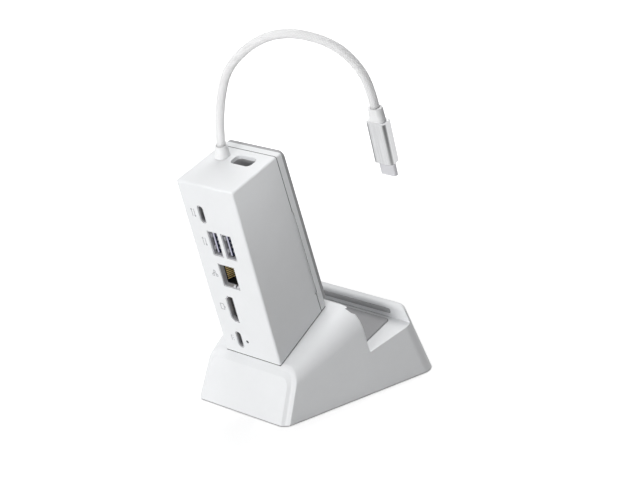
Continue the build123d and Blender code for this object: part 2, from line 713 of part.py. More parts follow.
def hub_back_cover():
    """Cover that closes the hub's back, with a rim that locates inside the shell's walls."""
    plate = above_seat(back_block(HUB_WIDTH / 2.0, (-COVER_THICK, 0.0), HUB_HEIGHT), SEAM_GAP)
    top_edges = edges_on(plate, Plane.XY.offset(HUB_HEIGHT))
    plate = fillet(top_edges.filter_by(GeomType.LINE).filter_by(Axis.X, reverse=True), SHELL_EDGE)
    rim_depths = (-COVER_THICK - COVER_RIM_DEPTH, -COVER_THICK)
    outer = CAVITY_HALF - RIM_FIT
    inner = outer - COVER_RIM_THICK
    top = HUB_HEIGHT - SHELL_WALL - RIM_FIT
    floor = SEAM_GAP + SHELL_WALL + RIM_FIT
    rim = above_seat(back_block(outer, rim_depths, top), floor)
    rim -= above_seat(back_block(inner, rim_depths, top - COVER_RIM_THICK), floor + COVER_RIM_THICK)
    cover = plate + rim
    for groove in seam_grooves():
        cover -= groove
    return cover


def back_cushion():
    """Soft pad on the cover that the console leans on, from above the foot's slope to the hub's top."""
    low = REST_PLANE * tan(radians(SEAT_ANGLE)) + SEAM_GAP + CUSHION_LIFT
    length = (HUB_HEIGHT - low) / cos(radians(BACK_TAPER))
    outline = RectangleRounded(HUB_WIDTH, length, CUSHION_CORNER)
    pad = along_y(Pos(0, -length / 2.0) * outline, 0.0, CUSHION_THICK)
    return BACK_PLACE * fillet(pad.edges().group_by(Axis.Y)[-1], CUSHION_EDGE)


def main_board():
    """Circuit board behind the ports, with a narrower tab that reaches down into the hollow tongue."""
    half = CAVITY_HALF - BOARD_EDGE_GAP
    tab = TONGUE_WIDTH / 2.0 - SHELL_WALL - BOARD_TAB_GAP
    top = HUB_HEIGHT - SHELL_WALL - BOARD_EDGE_GAP
    depths = (BOARD_FRONT, BOARD_FRONT + BOARD_THICK)
    board = block((-half, half), depths, (BOARD_SHOULDER, top))
    board += block((-tab, tab), depths, (BOARD_TAB_FOOT, BOARD_SHOULDER))
    for x, z in board_screw_places():
        board -= pin_y(x, z, BOARD_SCREW_RADIUS + TONGUE_FIT, *depths)
    return board


def board_screws():
    """Small screws that hold the board on its posts."""
    one = screw(BOARD_HEAD_RADIUS, BOARD_HEAD_HEIGHT, BOARD_SCREW_RADIUS, BOARD_HEAD_HEIGHT + BOARD_THICK
                + BOARD_SCREW_LENGTH - SCREW_FIT)
    back = BOARD_FRONT + BOARD_THICK + BOARD_HEAD_HEIGHT
    return [Pos(x, back, z) * Rot(90, 0, 0) * one for x, z in board_screw_places()]


# Parts on the back of the board: place across, row they serve, rise above its middle, and their sizes
BOARD_PARTS = {
    "hub_controller_chip": (6.0, USB_A_ROW, -3.0, (9.0, 9.0, 0.9)),
    "network_chip": (-6.0, NET_ROW, 8.3, (6.0, 6.0, 0.9)),
    "network_transformer": (-4.0, NET_ROW, -5.7, (7.0, 12.5, 3.4)),
    "video_chip": (5.5, HDMI_ROW, 3.3, (8.0, 8.0, 0.9)),
    "power_chip": (-6.5, POWER_ROW, 11.0, (5.0, 5.0, 0.8)),
    "power_inductor": (3.5, POWER_ROW, 8.0, (6.5, 6.5, 3.0)),
}


def board_part(name):
    """Chip or wound part soldered to the back of the board."""
    x, row, rise, (width, height, thick) = BOARD_PARTS[name]
    z = row_height(row) + rise
    back = BOARD_FRONT + BOARD_THICK
    body = block((x - width / 2, x + width / 2), (back, back + thick), (z - height / 2, z + height / 2))
    rear = body.edges().group_by(Axis.Y)[-1]
    return chamfer(rear, BOARD_PART_EDGE)


def plug_park_cup():
    """Cup under the parking slot, closed at the bottom, that holds the plug's tip when not in use."""
    top = HUB_HEIGHT - SHELL_WALL
    cup = along_z(park_outline(PARK_WALL), top - PARK_REACH, top)
    return cup - along_z(park_outline(0.0), top - PARK_REACH + PARK_WALL, top)


# Captive lead and plug, in the hub's frame

def lead_points():
    """Route of the lead, from inside its collar to inside the plug's boot."""
    bearing = radians(LEAD_BEARING)
    return [
        Vector(LEAD_PLACE[0] + run * cos(bearing), LEAD_PLACE[1] + run * sin(bearing), HUB_HEIGHT + rise)
        for run, rise in LEAD_ROUTE
    ]


def lead_radii(points):
    """Bend radius at each inner point: as large as its two runs allow."""
    radii = []
    for before, here, after in zip(points, points[1:], points[2:]):
        turn = (here - before).get_angle(after - here)
        shorter = min((here - before).length, (after - here).length)
        radii.append(BEND_SHARE * shorter / tan(radians(turn) / 2.0))
    return radii


def lead_cable():
    """Round braided lead along straight runs joined by tangent arcs."""
    points = lead_points()
    radii = lead_radii(points)
    path = FilletPolyline(*points, radius=radii)
    start = Plane(origin=path @ 0.0, z_dir=path % 0.0)
    cable = sweep(start * Circle(LEAD_DIAMETER / 2.0), path=path)
    section = Circle(LEAD_DIAMETER / 2.0).area
    print("lead radii", [round(radius, 1) for radius in radii])
    print("lead length", round(path.length, 1), "volume over section times length",
          round(cable.volume / (section * path.length), 4))
    return cable


def lead_collar():
    """Tapered strain relief that leans with the lead, on a neck and flange that hold it in the hub's top."""
    points = lead_points()
    way = (points[1] - points[0]).normalized()
    foot = Vector(LEAD_PLACE[0], LEAD_PLACE[1], HUB_HEIGHT)
    axis = Plane(origin=foot, z_dir=way)
    profile = make_face(Polyline(
        (0, -COLLAR_RADIUS), (COLLAR_RADIUS, -COLLAR_RADIUS), (COLLAR_RADIUS, COLLAR_LIP),
        (COLLAR_TIP_RADIUS, COLLAR_HEIGHT), (0, COLLAR_HEIGHT), close=True,
    ))
    cone = axis * revolve(Plane.XZ * profile, Axis.Z)
    collar = split(cone, bisect_by=Plane.XY.offset(HUB_HEIGHT), keep=Keep.TOP)
    under = HUB_HEIGHT - SHELL_WALL
    collar += pin_z(*LEAD_PLACE, NECK_RADIUS, under, HUB_HEIGHT)
    collar += pin_z(*LEAD_PLACE, FLANGE_RADIUS, under - FLANGE_THICK, under)
    bore_start = Plane(origin=points[0], z_dir=way)
    return collar - extrude(bore_start * Circle(LEAD_DIAMETER / 2.0 + BORE_FIT), amount=PAST)


def lead_tail():
    """Lead's inner end, from the collar's flange down to its header on the board."""
    top = HUB_HEIGHT - SHELL_WALL - FLANGE_THICK
    return pin_z(*LEAD_PLACE, LEAD_DIAMETER / 2.0, top - TAIL_LENGTH, top)


def lead_header():
    """Header on the board that the lead's tail goes into."""
    top = HUB_HEIGHT - SHELL_WALL - FLANGE_THICK - TAIL_LENGTH
    back = BOARD_FRONT + BOARD_THICK
    half = HEADER_WIDTH / 2.0
    xs = (LEAD_PLACE[0] - half, LEAD_PLACE[0] + half)
    return block(xs, (back, LEAD_PLACE[1] + half), (top - HEADER_LENGTH, top))


def plug_frame():
    """Plug's own frame: its axis points up, with zero where the sleeve meets the boot."""
    end = lead_points()[-1]
    return Pos(end.X, end.Y, end.Z + BOOT_BORE - BOOT_LENGTH)


def sleeve_outline(inset):
    """Rounded outline of the plug's sleeve, or of what fits inside it."""
    sizes = (SLEEVE_WIDTH - 2 * inset, SLEEVE_DEPTH - 2 * inset)
    return RectangleRounded(*sizes, SLEEVE_CORNER - inset)


def tip_outline(inset):
    """Outline of the plug's tip, with round ends, or of what fits inside it."""
    sizes = (TIP_WIDTH - 2 * inset, TIP_DEPTH - 2 * inset)
    return RectangleRounded(*sizes, TIP_DEPTH / 2.0 - inset - TOUCH)


def plug_boot():
    """Moulded boot that grips the lead, with the core that fills the sleeve and holds the tip."""
    foot = RectangleRounded(BOOT_WIDTH, BOOT_DEPTH, BOOT_CORNER)
    tip = RectangleRounded(BOOT_TIP_WIDTH, BOOT_TIP_DEPTH, BOOT_CORNER)
    taper = loft([Plane.XY.offset(BOOT_LIP) * foot, Plane.XY.offset(BOOT_LENGTH) * tip], ruled=True)
    boot = along_z(foot, 0.0, BOOT_LIP) + taper
    boot -= pin_z(0, 0, LEAD_DIAMETER / 2.0 + BORE_FIT, BOOT_LENGTH - BOOT_BORE, BOOT_LENGTH)
    core = along_z(sleeve_outline(SLEEVE_WALL + INSERT_FIT), -SLEEVE_LENGTH, -SLEEVE_WALL - INSERT_FIT)
    neck = pin_z(0, 0, BOOT_NECK_RADIUS, -SLEEVE_WALL - INSERT_FIT, 0.0)
    socket = along_z(tip_outline(-INSERT_FIT), -SLEEVE_LENGTH, TIP_ROOT - SLEEVE_LENGTH)
    return boot + neck + core - socket


def plug_sleeve():
    """Aluminium sleeve of the plug, open below and with a round hole for the boot above."""
    sleeve = along_z(sleeve_outline(0.0), -SLEEVE_LENGTH, 0.0)
    sleeve = chamfer(sleeve.edges().group_by(Axis.Z)[-1], SLEEVE_EDGE)
    sleeve -= along_z(sleeve_outline(SLEEVE_WALL), -SLEEVE_LENGTH, -SLEEVE_WALL)
    return sleeve - pin_z(0, 0, BOOT_NECK_RADIUS + INSERT_FIT, -SLEEVE_WALL, 0.0)


def plug_tip():
    """Seamless metal tip of the plug, open at its end."""
    low = -SLEEVE_LENGTH - TIP_LENGTH
    return along_z(tip_outline(0.0) - tip_outline(TIP_WALL), low, TIP_ROOT - SLEEVE_LENGTH)


def plug_tip_insert():
    """Contact carrier in the plug's tip, with the slot that takes a socket's blade."""
    low = -SLEEVE_LENGTH - TIP_LENGTH
    insert = along_z(tip_outline(TIP_WALL + INSERT_FIT), low + TIP_WALL, TIP_ROOT - SLEEVE_LENGTH)
    return insert - along_z(Rectangle(TIP_SLOT_WIDTH, TIP_SLOT), low, low + TIP_SLOT_DEPTH)


def hub_parts():
    """Pieces of the hub by name, in the hub's frame."""
    parts = {
        "hub_shell": hub_shell(),
        "hub_back_cover": hub_back_cover(),
        "back_cushion": back_cushion(),
        "main_board": main_board(),
        "board_screws": board_screws(),
        "status_light": status_light(),
        "plug_park_cup": plug_park_cup(),
        "ethernet_shield": port_shell("ethernet", NET_SHIELD),
        "ethernet_housing": net_housing(),
        "ethernet_contacts": net_contacts(),
        "cable_strain_relief": lead_collar(),
        "lead_tail": lead_tail(),
        "lead_header": lead_header(),
        "cable_lead": lead_cable(),
    }
    inserts = {
        "usb_c_data": (USB_C_POCKET, USB_C_BLADE, USB_C_BLADE_LENGTH, 0.0),
        "usb_a_left": (USB_A_POCKET, USB_A_BLADE, USB_A_BLADE_LENGTH, USB_A_BLADE_SHIFT),
        "usb_a_right": (USB_A_POCKET, USB_A_BLADE, USB_A_BLADE_LENGTH, USB_A_BLADE_SHIFT),
        "hdmi": (HDMI_POCKET, HDMI_BLADE, HDMI_BLADE_LENGTH, 0.0),
        "usb_c_power": (USB_C_POCKET, USB_C_BLADE, USB_C_BLADE_LENGTH, 0.0),
    }
    for name, sizes in inserts.items():
        parts[name + "_shell"] = port_shell(name, PORT_SHELL)
        parts[name + "_tongue"] = port_insert(name, *sizes)
    for name in BOARD_PARTS:
        parts[name] = board_part(name)
    for make in (plug_boot, plug_sleeve, plug_tip, plug_tip_insert):
        parts[make.__name__] = plug_frame() * make()
    return parts


def foot_parts():
    """Pieces of the foot by name, in the dock's frame."""
    parts = {
        "base_shell": base_shell(),
        "base_bottom_plate": base_bottom_plate(),
        "base_weight": base_weight(),
        "base_screws": base_screws(),
        "hub_screws": hub_screws(),
        "ledge_pad": ledge_pad(0.0, 0.0),
        "lip_pad": lip_pad(0.0, 0.0),
    }
    for name, place in rubber_places().items():
        parts["rubber_foot_" + name] = rubber_foot(*place)
    return parts


def as_group(piece):
    """One solid as it is, or several as one group."""
    return Compound(piece) if isinstance(piece, list) else piece


def main():
    """Write every piece to its own file."""
    os.makedirs("parts", exist_ok=True)
    pieces = {name: as_group(piece) for name, piece in foot_parts().items()}
    for name, piece in hub_parts().items():
        pieces[name] = HUB_PLACE * as_group(piece)
    for name, piece in pieces.items():
        export_step(piece, os.path.join("parts", name + ".step"))


if __name__ == "__main__":
    main()
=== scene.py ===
import json
import logging
import math
from dataclasses import dataclass
from enum import Enum
from typing import Optional, Sequence

import bpy
import numpy as np
from mathutils import Matrix, Vector


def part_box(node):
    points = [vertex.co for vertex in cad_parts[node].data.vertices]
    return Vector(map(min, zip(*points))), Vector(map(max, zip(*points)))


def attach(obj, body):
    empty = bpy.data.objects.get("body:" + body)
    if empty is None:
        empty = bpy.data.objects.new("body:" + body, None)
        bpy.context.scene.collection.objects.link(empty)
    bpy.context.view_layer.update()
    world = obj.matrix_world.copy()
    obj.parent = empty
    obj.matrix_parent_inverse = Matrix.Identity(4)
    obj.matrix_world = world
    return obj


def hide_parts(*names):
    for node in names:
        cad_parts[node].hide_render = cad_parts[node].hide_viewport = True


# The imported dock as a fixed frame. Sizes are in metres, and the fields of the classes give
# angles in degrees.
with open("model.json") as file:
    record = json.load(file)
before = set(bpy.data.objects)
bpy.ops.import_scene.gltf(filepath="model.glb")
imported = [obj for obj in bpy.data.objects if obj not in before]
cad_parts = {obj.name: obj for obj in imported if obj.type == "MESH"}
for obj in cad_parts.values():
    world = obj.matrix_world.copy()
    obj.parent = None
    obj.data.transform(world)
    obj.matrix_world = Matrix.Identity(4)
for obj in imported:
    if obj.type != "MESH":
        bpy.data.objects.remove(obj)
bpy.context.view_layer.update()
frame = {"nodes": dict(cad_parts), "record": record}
LOG = logging.getLogger("dock")

# The port whose mount gives the hub's frame, and its height above the hub's foot
FRAME_PORT = "usb_c_power_port"
FRAME_PORT_RISE = 0.009

# Attributes that the braid carries for its finish
YARN_HEIGHT = "yarn_height"
YARN_ACROSS = "yarn_across"

# Short names for hints, and white as a colour socket takes it
Triple = tuple[float, float, float]
Colour = Triple
Socket = bpy.types.NodeSocket
WHITE = (1.0, 1.0, 1.0, 1.0)


class Side(Enum):
    """Sides of a piece in the hub's own frame."""

    LEFT = (-1.0, 0.0, 0.0)
    RIGHT = (1.0, 0.0, 0.0)
    FRONT = (0.0, -1.0, 0.0)
    BACK = (0.0, 1.0, 0.0)
    TOP = (0.0, 0.0, 1.0)

    def way(self) -> np.ndarray:
        """Unit vector that points out of this side."""
        return np.array(self.value)


class Mark(Enum):
    """Plain pictograms beside the ports, as strokes (across, up, across, up) in stroke units."""

    DATA = (
        (-1.4, -4, -1.4, 4), (-2.4, 2.6, -1.4, 4), (-0.4, 2.6, -1.4, 4),
        (1.4, -4, 1.4, 4), (2.4, -2.6, 1.4, -4), (0.4, -2.6, 1.4, -4),
    )
    NETWORK = (
        (-1, 1, 1, 1), (1, 1, 1, 3), (1, 3, -1, 3), (-1, 3, -1, 1), (0, 1, 0, 0), (-2, 0, 2, 0),
        (-2, 0, -2, -1), (2, 0, 2, -1), (-3, -1, -1, -1), (-1, -1, -1, -3), (-1, -3, -3, -3),
        (-3, -3, -3, -1), (1, -1, 3, -1), (3, -1, 3, -3), (3, -3, 1, -3), (1, -3, 1, -1),
    )
    SCREEN = ((-2, -3, 2, -3), (2, -3, 2, 3), (2, 3, -2, 3), (-2, 3, -2, -3), (3, -1, 3, 1))
    POWER = ((-1, -3, -1, 3), (1, -3, 1, -2), (1, -0.5, 1, 0.5), (1, 2, 1, 3))


@dataclass(frozen=True)
class HubFrame:
    """The leaning hub's own frame: x across, y from the port face to the back, z along the block."""

    origin: np.ndarray
    axes: np.ndarray

    @classmethod
    def from_port(cls, port: str, rise: float) -> "HubFrame":
        """Finds the frame from a port's mount.

        Args:
            port: Name of the mount in the middle of a port's mouth.
            rise: Height of that port above the hub's foot, in metres.

        Returns:
            The hub's frame.
        """
        mount = next(item for item in frame["record"]["mounts"] if item["name"] == port)
        back = -np.array(mount["axis"], float)
        across = np.array([1.0, 0.0, 0.0])
        up = np.cross(across, back)
        place = np.array(mount["pos_m"], float)
        middle = place - np.array([place[0], 0.0, 0.0])
        return cls(origin=middle - rise * up, axes=np.stack([across, back, up]))

    def leaned(self, angle: float) -> "HubFrame":
        """Turns the frame about its x axis.

        Args:
            angle: Angle in degrees.

        Returns:
            The turned frame.
        """
        turn = math.radians(angle)
        across, back, up = self.axes
        new_back = math.cos(turn) * back + math.sin(turn) * up
        return HubFrame(self.origin, np.stack([across, new_back, np.cross(across, new_back)]))

    def way(self, ways: np.ndarray) -> np.ndarray:
        """Ways of the hub's frame in the dock's frame."""
        return np.asarray(ways, float) @ self.axes

    def world(self, points: np.ndarray) -> np.ndarray:
        """Points of the hub's frame in the dock's frame."""
        return self.origin + self.way(points)

    def local(self, points: np.ndarray) -> np.ndarray:
        """Points of the dock's frame in the hub's frame."""
        return (np.asarray(points, float) - self.origin) @ self.axes.T

    def node_box(self, node: str, front_only: float = 0.0) -> np.ndarray:
        """Lowest and highest corner of a solid in the hub's frame.

        Args:
            node: Name of the solid.
            front_only: If set, only what lies within this depth of the solid's front counts.

        Returns:
            Array of two corners.
        """
        points = self.local(mesh_corners(frame["nodes"][node].data))
        if front_only:
            points = points[points[:, 1] < points[:, 1].min() + front_only]
        return np.stack([points.min(axis=0), points.max(axis=0)])


# Mesh making: every new piece is a grid of points worked out as whole arrays


def mesh_corners(mesh: bpy.types.Mesh) -> np.ndarray:
    """Reads the corners of a mesh.

    Args:
        mesh: The mesh.

    Returns:
        Array of points.
    """
    flat = np.empty(len(mesh.vertices) * 3)
    mesh.vertices.foreach_get("co", flat)
    return flat.reshape(-1, 3)


def columns(*parts: object) -> np.ndarray:
    """Rows from their columns, where a single number stands for a whole column."""
    return np.stack(np.broadcast_arrays(*parts), axis=-1)


def unit(vectors: np.ndarray) -> np.ndarray:
    """Vectors of length one along the last axis."""
    return vectors / np.linalg.norm(vectors, axis=-1, keepdims=True)


def round_angles(count: int) -> np.ndarray:
    """Angles of points spaced evenly round a circle, in radians."""
    return np.linspace(0.0, 2.0 * math.pi, count, endpoint=False)


def quarter_angles(count: int) -> np.ndarray:
    """Angles of points on a quarter circle with both its ends, in radians."""
    return np.linspace(0.0, math.pi / 2.0, count)


def grid_quads(rings: int, around: int) -> np.ndarray:
    """Corner numbers of the quads of a grid that closes on itself round each ring.

    Args:
        rings: Number of rings.
        around: Points on each ring.

    Returns:
        Array of four corner numbers per quad.
    """
    start = np.arange(rings - 1)[:, None] * around
    here = np.arange(around)
    after = (here + 1) % around
    quads = columns(start + here, start + after, start + after + around, start + here + around)
    return quads.reshape(-1, 4)


def cap_fans(rings: int, around: int) -> np.ndarray:
    """Corner numbers of the triangles that join the end rings to two poles behind the grid's points.

    Args:
        rings: Number of rings.
        around: Points on each ring.

    Returns:
        Array of three corner numbers per triangle.
    """
    here = np.arange(around)
    after = (here + 1) % around
    last_ring = (rings - 1) * around
    pole = rings * around
    start = columns(pole, after, here)
    end = columns(pole + 1, last_ring + here, last_ring + after)
    return np.concatenate([start, end])


def mesh_piece(name: str, points: np.ndarray, faces: Sequence[np.ndarray], sharp: float) -> bpy.types.Object:
    """Puts points and faces into a new object at the origin.

    Args:
        name: Name of the piece.
        points: Array of corners, in metres.
        faces: Arrays of corner numbers, one for each number of corners per face.
        sharp: Edges that turn by more than this angle stay sharp, in degrees.

    Returns:
        The new object.
    """
    mesh = bpy.data.meshes.new(name)
    mesh.vertices.add(len(points))
    mesh.vertices.foreach_set("co", np.ascontiguousarray(points, np.float32).ravel())
    corners = np.concatenate([part.ravel() for part in faces])
    counts = np.concatenate([np.full(len(part), part.shape[1]) for part in faces])
    mesh.loops.add(len(corners))
    mesh.loops.foreach_set("vertex_index", corners.astype(np.int32))
    mesh.polygons.add(len(counts))
    mesh.polygons.foreach_set("loop_start", (np.cumsum(counts) - counts).astype(np.int32))
    mesh.polygons.foreach_set("use_smooth", np.ones(len(counts), bool))
    mesh.update(calc_edges=True)
    mesh.validate()
    mesh.set_sharp_from_angle(angle=math.radians(sharp))
    piece = bpy.data.objects.new(name, mesh)
    bpy.context.scene.collection.objects.link(piece)
    return piece


def closed_piece(
    name: str, grids: np.ndarray, starts: np.ndarray, ends: np.ndarray, sharp: float
) -> bpy.types.Object:
    """Puts copies of a ringed grid, each closed by a pole at either end, into a new object.

    Args:
        name: Name of the piece.
        grids: Array of copies, rings, points on a ring and three coordinates.
        starts: Pole before the first ring of each copy.
        ends: Pole behind the last ring of each copy.
        sharp: Edges that turn by more than this angle stay sharp, in degrees.

    Returns:
        The new object.
    """
    copies, rings, around, _ = grids.shape
    points = np.concatenate([grids.reshape(copies, -1, 3), starts[:, None], ends[:, None]], axis=1)
    shift = (np.arange(copies) * points.shape[1])[:, None, None]
    quads = (grid_quads(rings, around) + shift).reshape(-1, 4)
    fans = (cap_fans(rings, around) + shift).reshape(-1, 3)
    return mesh_piece(name, points.reshape(-1, 3), [quads, fans], sharp)


def rounded_outline(width: float, length: float, corner: float, along: int, turn: int) -> np.ndarray:
    """Points and outward ways of a rounded rectangle, from quarter circles joined by straight sides.

    Args:
        width: Size across.
        length: Size along.
        corner: Radius of the corners.
        along: Points on each straight side.
        turn: Points on each corner.

    Returns:
        Array of (across, along, way across, way along) for each point, anticlockwise.
    """
    angles = quarter_angles(turn) + np.arange(4)[:, None] * math.pi / 2.0
    ways = columns(np.cos(angles), np.sin(angles))
    signs = np.array([[1.0, 1.0], [-1.0, 1.0], [-1.0, -1.0], [1.0, -1.0]])
    centres = signs * (np.array([width, length]) / 2.0 - corner)
    arcs = centres[:, None] + corner * ways
    share = np.linspace(0.0, 1.0, along + 2)[1:-1][None, :, None]
    sides = arcs[:, -1:] * (1.0 - share) + np.roll(arcs, -1, axis=0)[:, :1] * share
    side_ways = np.repeat(ways[:, -1:], along, axis=1)
    points = np.concatenate([arcs, sides], axis=1).reshape(-1, 2)
    outward = np.concatenate([ways, side_ways], axis=1).reshape(-1, 2)
    return np.concatenate([points, outward], axis=1)


@dataclass(frozen=True)
class Strip:
    """Flat strip with softened edges: its sizes, its start behind a port's mouth, and its bow."""

    width: float
    thick: float
    length: float = 0.0
    start: float = 0.0
    bow: float = 0.0
    rings: int = 9
    around: int = 12
    edge_power: float = 0.3

    def lay(self, name: str, starts: np.ndarray, ends: np.ndarray, lift: np.ndarray) -> bpy.types.Object:
        """Lays copies of the strip, each from a start to an end.

        The middle line is start + (end - start) s + lift * bow * sin(pi s). Round it runs a superellipse,
        half a width along the strip's side and half a thickness along its lift.

        Args:
            name: Name of the piece.
            starts: Start of each strip, in the dock's frame.
            ends: End of each strip.
            lift: Way out of the face that the strips lie on.

        Returns:
            One object that holds all the strips.
        """
        share = np.linspace(0.0, 1.0, self.rings)[:, None]
        run = ends - starts
        line = starts[:, None] + run[:, None] * share + lift * (self.bow * np.sin(math.pi * share))
        angle = round_angles(self.around)
        circle = columns(np.cos(angle), np.sin(angle))
        size = np.array([self.width, self.thick])
        outline = np.sign(circle) * np.abs(circle) ** self.edge_power * size / 2.0
        side = unit(np.cross(lift, run))
        ring = side[:, None] * outline[:, :1] + lift * outline[:, 1:]
        return closed_piece(name, line[:, :, None] + ring[:, None], line[:, 0], line[:, -1], sharp=50.0)


def turned(
    name: str,
    profile: np.ndarray,
    centres: np.ndarray,
    sink: float | np.ndarray = 0.0,
    around: int = 64,
) -> bpy.types.Object:
    """Turned pieces: a profile of (radius, height) carried round an upright axis.

    A point is centre + (r cos a, r sin a, h + sink), where sink may change with the angle.

    Args:
        name: Name of the piece.
        profile: Radius and height of each ring, from the pole below to the pole above.
        centres: Foot of each copy's axis.
        sink: Extra height, for each ring and angle where it changes.
        around: Points on each ring.

    Returns:
        One object that holds all the copies.
    """
    angle = round_angles(around)
    radius, height = profile[:, :1], profile[:, 1:] + sink
    ring = columns(radius * np.cos(angle), radius * np.sin(angle), height)
    grids = centres[:, None, None] + ring
    low, high = (centres + np.array([0.0, 0.0, level.mean()]) for level in (height[0], height[-1]))
    return closed_piece(name, grids[:, :, ::-1], low, high, sharp=40.0)


def seat(piece: bpy.types.Object, slot: str, *replaced: str) -> None:
    """Fixes a piece to the dock and hides the solids that it stands for.

    Args:
        piece: The piece.
        slot: Name of its finish in the record; not used.
        *replaced: Names of the solids.
    """
    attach(piece, "root")
    if replaced:
        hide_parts(*replaced)
    LOG.info("%s: %d faces", piece.name, len(piece.data.polygons))


# Finishes: shared effects are node groups, and each finish puts them into a material of its own


class Graph:
    """Nodes and links of one tree, added by short calls that take a socket or a plain value."""

    def __init__(self, tree: bpy.types.NodeTree) -> None:
        """Keeps the tree."""
        self.tree = tree

    def put(self, value: object, target: Socket) -> None:
        """Links a socket to an input, or sets a plain value on it.

        Args:
            value: The socket or value.
            target: The input.
        """
        if isinstance(value, Socket):
            self.tree.links.new(value, target)
        else:
            target.default_value = value

    def add(self, kind: str, **values: object) -> bpy.types.Node:
        """Adds a node.

        Args:
            kind: The node's type.
            **values: Settings of the node, or what goes into its inputs by name with _ for spaces.

        Returns:
            The new node.
        """
        node = self.tree.nodes.new(kind)
        for name, value in values.items():
            if hasattr(node, name):
                setattr(node, name, value)
            else:
                self.put(value, node.inputs[name.replace("_", " ")])
        return node

    def here(self) -> Socket:
        """Place on the piece, in its own coordinates."""
        return self.add("ShaderNodeTexCoord").outputs["Object"]

    def math(self, operation: str, *values: object) -> Socket:
        """Adds a sum or other operation.

        Args:
            operation: Name of the operation.
            *values: What it works on.

        Returns:
            The result.
        """
        node = self.add("ShaderNodeMath", operation=operation)
        for value, target in zip(values, node.inputs):
            self.put(value, target)
        return node.outputs["Value"]

    def blend(self, first: Socket, second: Socket, share: float) -> Socket:
        """Adds a share of one value to the rest of another."""
        rest = self.math("MULTIPLY", second, 1.0 - share)
        return self.math("ADD", self.math("MULTIPLY", first, share), rest)

    def along(self, vector: Socket, way: Triple) -> Socket:
        """Measures how far a vector reaches along a way.

        Args:
            vector: The vector.
            way: The way, as three numbers.

        Returns:
            Their dot product.
        """
        node = self.add("ShaderNodeVectorMath", operation="DOT_PRODUCT", Vector=vector)
        node.inputs[1].default_value = way
        return node.outputs["Value"]

    def ramp(
        self,
        value: Socket,
        ends: tuple[object, object],
        starts: tuple[object, object] = (0.0, 1.0),
        smooth: bool = False,
    ) -> Socket:
        """Carries a value from one range over to another, and holds it at the ends.

        Args:
            value: The value.
            ends: What comes out at either end of the range.
            starts: The range of the value.
            smooth: Whether it eases in and out.

        Returns:
            The new value.
        """
        course = "SMOOTHSTEP" if smooth else "LINEAR"
        node = self.add("ShaderNodeMapRange", interpolation_type=course, Value=value, From_Min=starts[0],
                        From_Max=starts[1], To_Min=ends[0], To_Max=ends[1])
        return node.outputs["Result"]

    def shade(self, mask: Socket, low: Colour, high: Colour) -> Socket:
        """Mixes two colours by a mask."""
        mix = self.add("ShaderNodeMix", data_type="RGBA", Factor=mask, A=(*low, 1.0), B=(*high, 1.0))
        return mix.outputs["Result"]

    def bump(
        self, height: Socket, depth: float, strength: float = 0.8, under: Optional[Socket] = None
    ) -> Socket:
        """Makes a normal from a height.

        Args:
            height: Height from zero to one.
            depth: Depth of the relief, in metres.
            strength: How much of it shows.
            under: Normal that it is laid over, if not the face's own.

        Returns:
            The normal.
        """
        node = self.add("ShaderNodeBump", Distance=depth, Strength=strength, Height=height)
        if under:
            self.put(under, node.inputs["Normal"])
        return node.outputs["Normal"]


class Surface(Graph):
    """Nodes of a new material that has one shader."""

    def __init__(self, name: str) -> None:
        """Makes the material with its shader and output.

        Args:
            name: Name of the material.
        """
        self.material = bpy.data.materials.new(name)
        self.material.use_nodes = True
        super().__init__(self.material.node_tree)
        self.tree.nodes.clear()
        self.shader = self.add("ShaderNodeBsdfPrincipled")
        self.add("ShaderNodeOutputMaterial", Surface=self.shader.outputs["BSDF"])

    def feed(self, **values: object) -> None:
        """Links or sets the shader's inputs, by name with _ for spaces."""
        for name, value in values.items():
            self.put(value, self.shader.inputs[name.replace("_", " ")])

    def soak(self, share: float, depth: float) -> None:
        """Lets a share of the light soak into a soft or thin piece, to a depth in metres."""
        self.feed(Subsurface_Weight=share, Subsurface_Radius=(1.0, 1.0, 1.0), Subsurface_Scale=depth)


